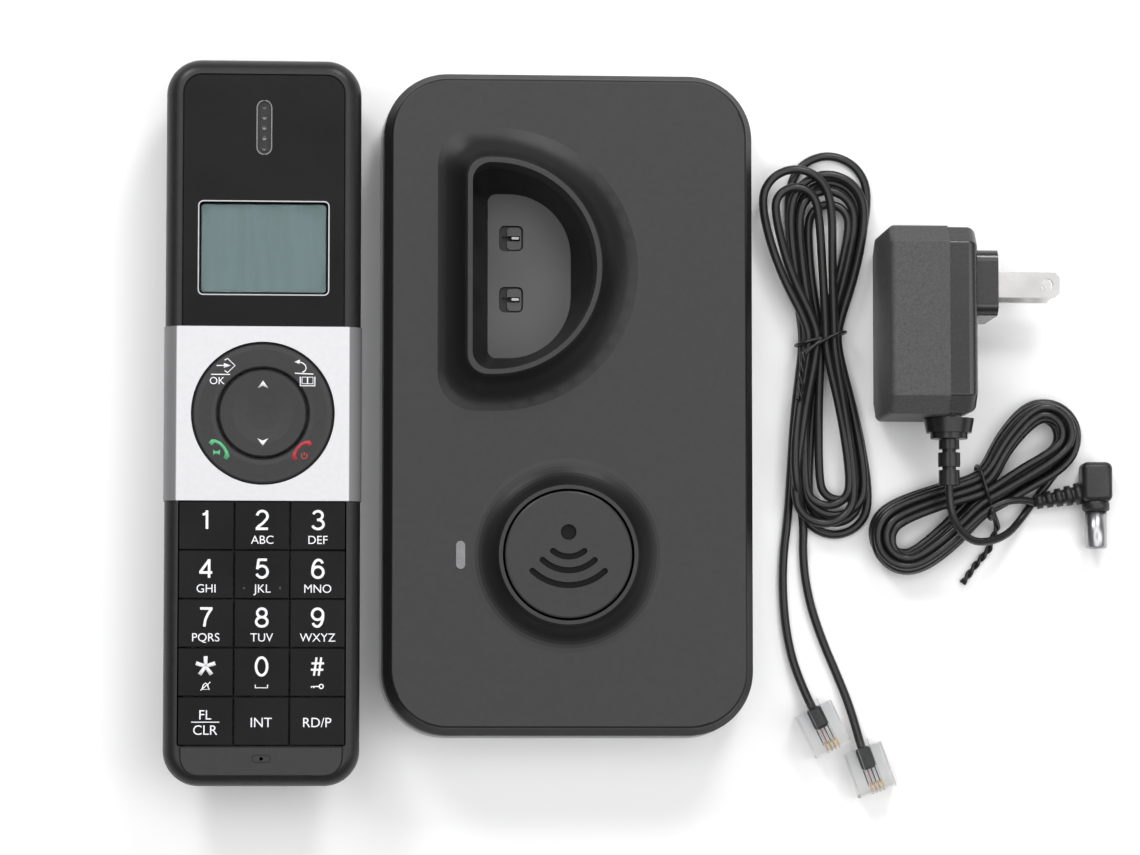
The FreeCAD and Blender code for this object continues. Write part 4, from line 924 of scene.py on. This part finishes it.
def small_key_into(bm, x, y, z):
    stroke_into(bm, [(p[0] * 0.5 + 0.95, p[1] * 0.5) for p in ring_points(1.0, 14)], 0.3, x, y, z, True)
    stroke_into(bm, [(0.4, 0.0), (-1.5, 0.0), (-1.4, -0.35)], 0.32, x, y, z)
    stroke_into(bm, [(-0.85, 0.0), (-0.85, -0.4)], 0.32, x, y, z)


def key_print(name):
    """White legend of one key, riding on that key."""
    low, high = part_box("key_" + name)
    x, top, z = (low.x + high.x) / 2, high.y, high.z
    bm = bmesh.new()
    if name in KEY_LETTERS:
        digit_into(bm, name, x, top - DIGIT_DOWN, z)
        if KEY_LETTERS[name]:
            text_into(bm, KEY_LETTERS[name], LETTERS_TALL, x, top - LETTERS_DOWN, z)
    if name == "0":
        bracket = [(-1.5, 0.4), (-1.5, -0.35), (1.5, -0.35), (1.5, 0.4)]
        stroke_into(bm, bracket, 0.3, x, top - LETTERS_DOWN, z)
    if name == "star":
        asterisk_into(bm, x, top - DIGIT_DOWN, z)
        crossed_bell_into(bm, x, top - LETTERS_DOWN, z)
    if name == "hash":
        digit_into(bm, "#", x, top - DIGIT_DOWN, z)
        small_key_into(bm, x, top - LETTERS_DOWN, z)
    if name == "flash":
        middle_y = (low.y + high.y) / 2
        text_into(bm, "FL", WORD_TALL, x, middle_y + 1.55 * MM, z)
        stroke_into(bm, [(-3.45, 0), (3.45, 0)], 0.25, x, middle_y - 0.25 * MM, z)
        text_into(bm, "CLR", WORD_TALL, x, middle_y - 2.2 * MM, z)
    if name == "intercom":
        text_into(bm, "INT", WORD_TALL, x, (low.y + high.y) / 2 - 0.3 * MM, z)
    if name == "redial":
        text_into(bm, "RD/P", WORD_TALL, x, (low.y + high.y) / 2 - 0.3 * MM, z)
    return mesh_piece("legend_" + name, bm, BODY_OF["key_" + name], "legend_white")


def finger_pips():
    """Two raised dots low on the middle key."""
    low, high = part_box("key_5")
    bm = bmesh.new()
    for side in (-1, 1):
        spot = Vector(((low.x + high.x) / 2 + side * 4.45 * MM, high.y - LETTERS_DOWN, high.z - 0.03 * MM))
        profile = [(0.5 * MM, 0), (0.44 * MM, 0.10 * MM), (0.28 * MM, 0.19 * MM), (0.08 * MM, 0.23 * MM)]
        revolved(bm, profile, spot, segments=20)
    return mesh_piece("key_5_pips", bm, BODY_OF["key_5"], "key_gloss")


def receiver(mirror):
    """Outline of a telephone receiver along a bowed line, with broad ends."""
    spine = [(-12.95, -7.75, 0.5), (-12.35, -7.05, 0.62), (-11.7, -7.0, 0.42), (-10.5, -7.55, 0.36),
             (-9.55, -8.55, 0.36), (-8.9, -9.75, 0.42), (-8.75, -10.55, 0.62), (-9.25, -11.35, 0.5)]
    left, right = [], []
    for i, (x, y, half) in enumerate(spine):
        before, after = spine[max(i - 1, 0)], spine[min(i + 1, len(spine) - 1)]
        along = Vector((after[0] - before[0], after[1] - before[1])).normalized()
        left.append((x - along.y * half, y + along.x * half))
        right.append((x + along.y * half, y - along.x * half))
    outline = left + right[::-1]
    return [(-x - 1.1, y - 0.2) for x, y in outline] if mirror else outline


def ring_prints():
    """Small signs on the thumb ring: confirm, back and book, talk, and end."""
    low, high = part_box("ring_key")
    x, y, z = (low.x + high.x) / 2, (low.y + high.y) / 2, high.z
    bm = bmesh.new()
    tip = [(-9.5, 13.1), (-8.76, 13.5), (-6.92, 11.76), (-8.76, 10.0), (-9.5, 10.5)]
    stroke_into(bm, tip, SIGN_WIDTH, x, y, z)
    stroke_into(bm, [(-11.5, 11.76), (-9.0, 11.76)], SIGN_WIDTH, x, y, z)
    fill_into(bm, [(-9.7, 12.4), (-9.7, 11.1), (-8.0, 11.76)], x, y, z)
    stroke_into(bm, [(-12.8, 9.55), (-8.15, 9.55)], SIGN_WIDTH, x, y, z)
    text_into(bm, "OK", 1.75 * MM, x - 11.3 * MM, y + 8.0 * MM, z)
    fill_into(bm, [(7.65, 12.76), (9.12, 13.35), (8.94, 12.2)], x, y, z)
    hook = [(8.6, 12.75), (9.67, 12.55), (10.4, 12.0), (10.62, 11.3), (10.4, 10.6), (9.7, 10.15)]
    stroke_into(bm, hook, SIGN_WIDTH, x, y, z)
    stroke_into(bm, [(7.85, 9.95), (12.4, 9.75)], 0.28, x, y, z)
    stroke_into(bm, [(9.2, 9.1), (9.2, 6.85), (12.8, 6.85), (12.8, 9.1)], 0.3, x, y, z)
    for left in (9.62, 11.06):
        page = [(left, 9.0), (left + 1.28, 9.0), (left + 1.28, 7.35), (left, 7.35)]
        stroke_into(bm, page, 0.22, x, y, z, True)
    made = [mesh_piece("ring_signs", bm, "ring_key", "legend_white")]
    bm = bmesh.new()
    fill_into(bm, receiver(False), x, y, z)
    fill_into(bm, [(-12.2, -9.1), (-11.7, -9.5), (-11.1, -9.5), (-10.5, -9.1), (-10.5, -10.5),
                   (-11.1, -10.15), (-11.7, -10.15), (-12.2, -10.5)], x, y, z)
    made.append(mesh_piece("talk_sign", bm, "ring_key", "legend_green"))
    bm = bmesh.new()
    fill_into(bm, receiver(True), x, y, z)
    bow = [(px + 10.25, py - 10.5) for px, py in ring_points(0.72, 12, 130.0, 280.0)]
    stroke_into(bm, bow, 0.24, x, y, z)
    stroke_into(bm, [(10.25, -9.6), (10.25, -10.5)], 0.24, x, y, z)
    made.append(mesh_piece("end_sign", bm, "ring_key", "legend_red"))
    return made


def rounded_points(half_x, half_y, radius):
    """Closed rounded rectangle about the origin, in mm."""
    points = []
    for start, sx, sy in ((0, 1, 1), (90, -1, 1), (180, -1, -1), (270, 1, -1)):
        points += arc(sx * (half_x - radius), sy * (half_y - radius), radius, radius, start, start + 90, 7)
    return points


EDGE_OUT = 0.02  # mm outside the window's own outline


def painted_edge_highlights():
    """Painted highlights: light strokes round the display window and round the earpiece slot, standing in
    for light caught on their edges.
    """
    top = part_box("face_plate")[1].z
    made = []
    for name, width, radius, slot in (("lcd_window", 0.30, 1.2, "silver_plastic_base"),
                                      ("earpiece_grille", 0.26, 1.85, "light_pipe")):
        low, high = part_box(name)
        half = (high - low) / 2 / MM
        bm = bmesh.new()
        line = rounded_points(half.x + EDGE_OUT, half.y + EDGE_OUT, radius)
        # painted highlight: a light stroke along each edge
        stroke_into(bm, line, width, (low.x + high.x) / 2, (low.y + high.y) / 2, top, True)
        made.append(mesh_piece(name + "_edge", bm, "handset", slot))
    return made


def contact_slot_floors():
    """Dark bottoms of the two slots that the charging contacts dip into."""
    x = middle("contact_block").x
    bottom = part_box("contact_block")[0].z
    half = Vector((2.15, 0.6, 0.11)) * MM
    bm = bmesh.new()
    for which in ("1", "2"):
        spot = Vector((x, middle("charge_contact_" + which).y, bottom + 0.14 * MM))
        rounded_block(bm, spot - half, spot + half, 0.03 * MM, 1)
    return mesh_piece("contact_slot_floors", bm, "base", "jack_plastic")


def nav_prints():
    """Two arrowheads on the navigation disc, above and below its middle."""
    low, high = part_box("nav_disc")
    x, y = (low.x + high.x) / 2, (low.y + high.y) / 2
    bm = bmesh.new()
    for side in (1, -1):
        head = [(0, 8.1 * side), (-1.35, 6.2 * side), (0, 6.8 * side), (1.35, 6.2 * side)]
        fill_into(bm, head if side > 0 else head[::-1], x, y, high.z - PRINT_SINK)
    for v in bm.verts:
        if v.co.z < high.z - 1.5 * PRINT_SINK:
            v.co.z -= 0.2 * MM  # the disc is dished, so the print reaches down into it
    return mesh_piece("nav_arrows", bm, "nav_disc", "legend_white")


for key in [*"123456789", "star", "0", "hash", "flash", "intercom", "redial"]:
    key_print(key)
finger_pips()
ring_prints()
nav_prints()
painted_edge_highlights()
contact_slot_floors()


# ---------------------------------------------------------------- stage
def stage():
    bpy.ops.mesh.primitive_grid_add(x_subdivisions=4, y_subdivisions=4, size=8.0)
    floor = bpy.context.object
    floor.name = "floor"
    m = new_material("floor_white", (0.95, 0.95, 0.95), 0.7, specular=0.1)
    vary_roughness(m, noise(m, 3.0), 0.65, 0.8)
    floor.data.materials.append(m)


def area_light(name, place, aim, size, power):
    data = bpy.data.lights.new(name, "AREA")
    data.shape = "RECTANGLE"
    data.size, data.size_y = size
    data.energy = power
    obj = bpy.data.objects.new(name, data)
    bpy.context.scene.collection.objects.link(obj)
    obj.location = place
    obj.rotation_euler = (Vector(aim) - Vector(place)).to_track_quat("-Z", "Y").to_euler()
    return obj


# height in the sky (0 horizon, 1 overhead) and brightness: pale at the horizon, dim above it, a bright
# ring high up, and a small dark opening overhead
SKY = [(0.0, 0.80), (0.12, 0.70), (0.28, 0.14), (0.50, 0.12), (0.80, 0.30), (0.885, 2.6), (0.966, 2.6),
       (0.985, 0.27), (1.0, 0.24)]


def lights():
    world = bpy.data.worlds.new("studio")
    world.use_nodes = True
    tree = world.node_tree
    place = tree.nodes.new("ShaderNodeTexCoord")
    split = tree.nodes.new("ShaderNodeSeparateXYZ")
    ramp = tree.nodes.new("ShaderNodeValToRGB")
    while len(ramp.color_ramp.elements) < len(SKY):
        ramp.color_ramp.elements.new(0.5)
    for element, (height, level) in zip(ramp.color_ramp.elements, SKY):
        element.position = height
        element.color = (level, level, level, 1)
    tree.links.new(place.outputs["Generated"], split.inputs["Vector"])
    tree.links.new(split.outputs["Z"], ramp.inputs["Fac"])
    tree.links.new(ramp.outputs["Color"], tree.nodes["Background"].inputs["Color"])
    bpy.context.scene.world = world
    area_light("key_left", (-0.50, 0.80, 0.72), (0, 0, 0), (0.30, 0.30), 4.4)
    area_light("key_right", (0.30, 0.88, 0.72), (0, 0, 0), (0.30, 0.30), 4.4)
    area_light("fill_softbox", (0.75, -0.1, 0.7), (0, 0, 0), (0.5, 0.5), 1.6)


CAMERA_TARGET = Vector((-0.0112, -0.0008, 0.020))
CAMERA_LEAN = (math.radians(-4.0), math.radians(-4.5))
CAMERA_AWAY = 1.15
VIEW_WIDTH = 0.285
SENSOR = 36.0


def camera():
    data = bpy.data.cameras.new("camera")
    obj = bpy.data.objects.new("camera", data)
    bpy.context.scene.collection.objects.link(obj)
    back = Vector((math.tan(CAMERA_LEAN[0]), math.tan(CAMERA_LEAN[1]), 1.0)).normalized()
    place = CAMERA_TARGET + back * CAMERA_AWAY
    right = Vector((0, 1, 0)).cross(back).normalized()
    up = back.cross(right)
    obj.matrix_world = Matrix((
        (right.x, up.x, back.x, place.x),
        (right.y, up.y, back.y, place.y),
        (right.z, up.z, back.z, place.z),
        (0, 0, 0, 1)))
    data.sensor_width = SENSOR
    data.lens = SENSOR * CAMERA_AWAY / VIEW_WIDTH
    bpy.context.scene.camera = obj


stage()
lights()
camera()
bpy.context.scene.view_settings.view_transform = "Standard"
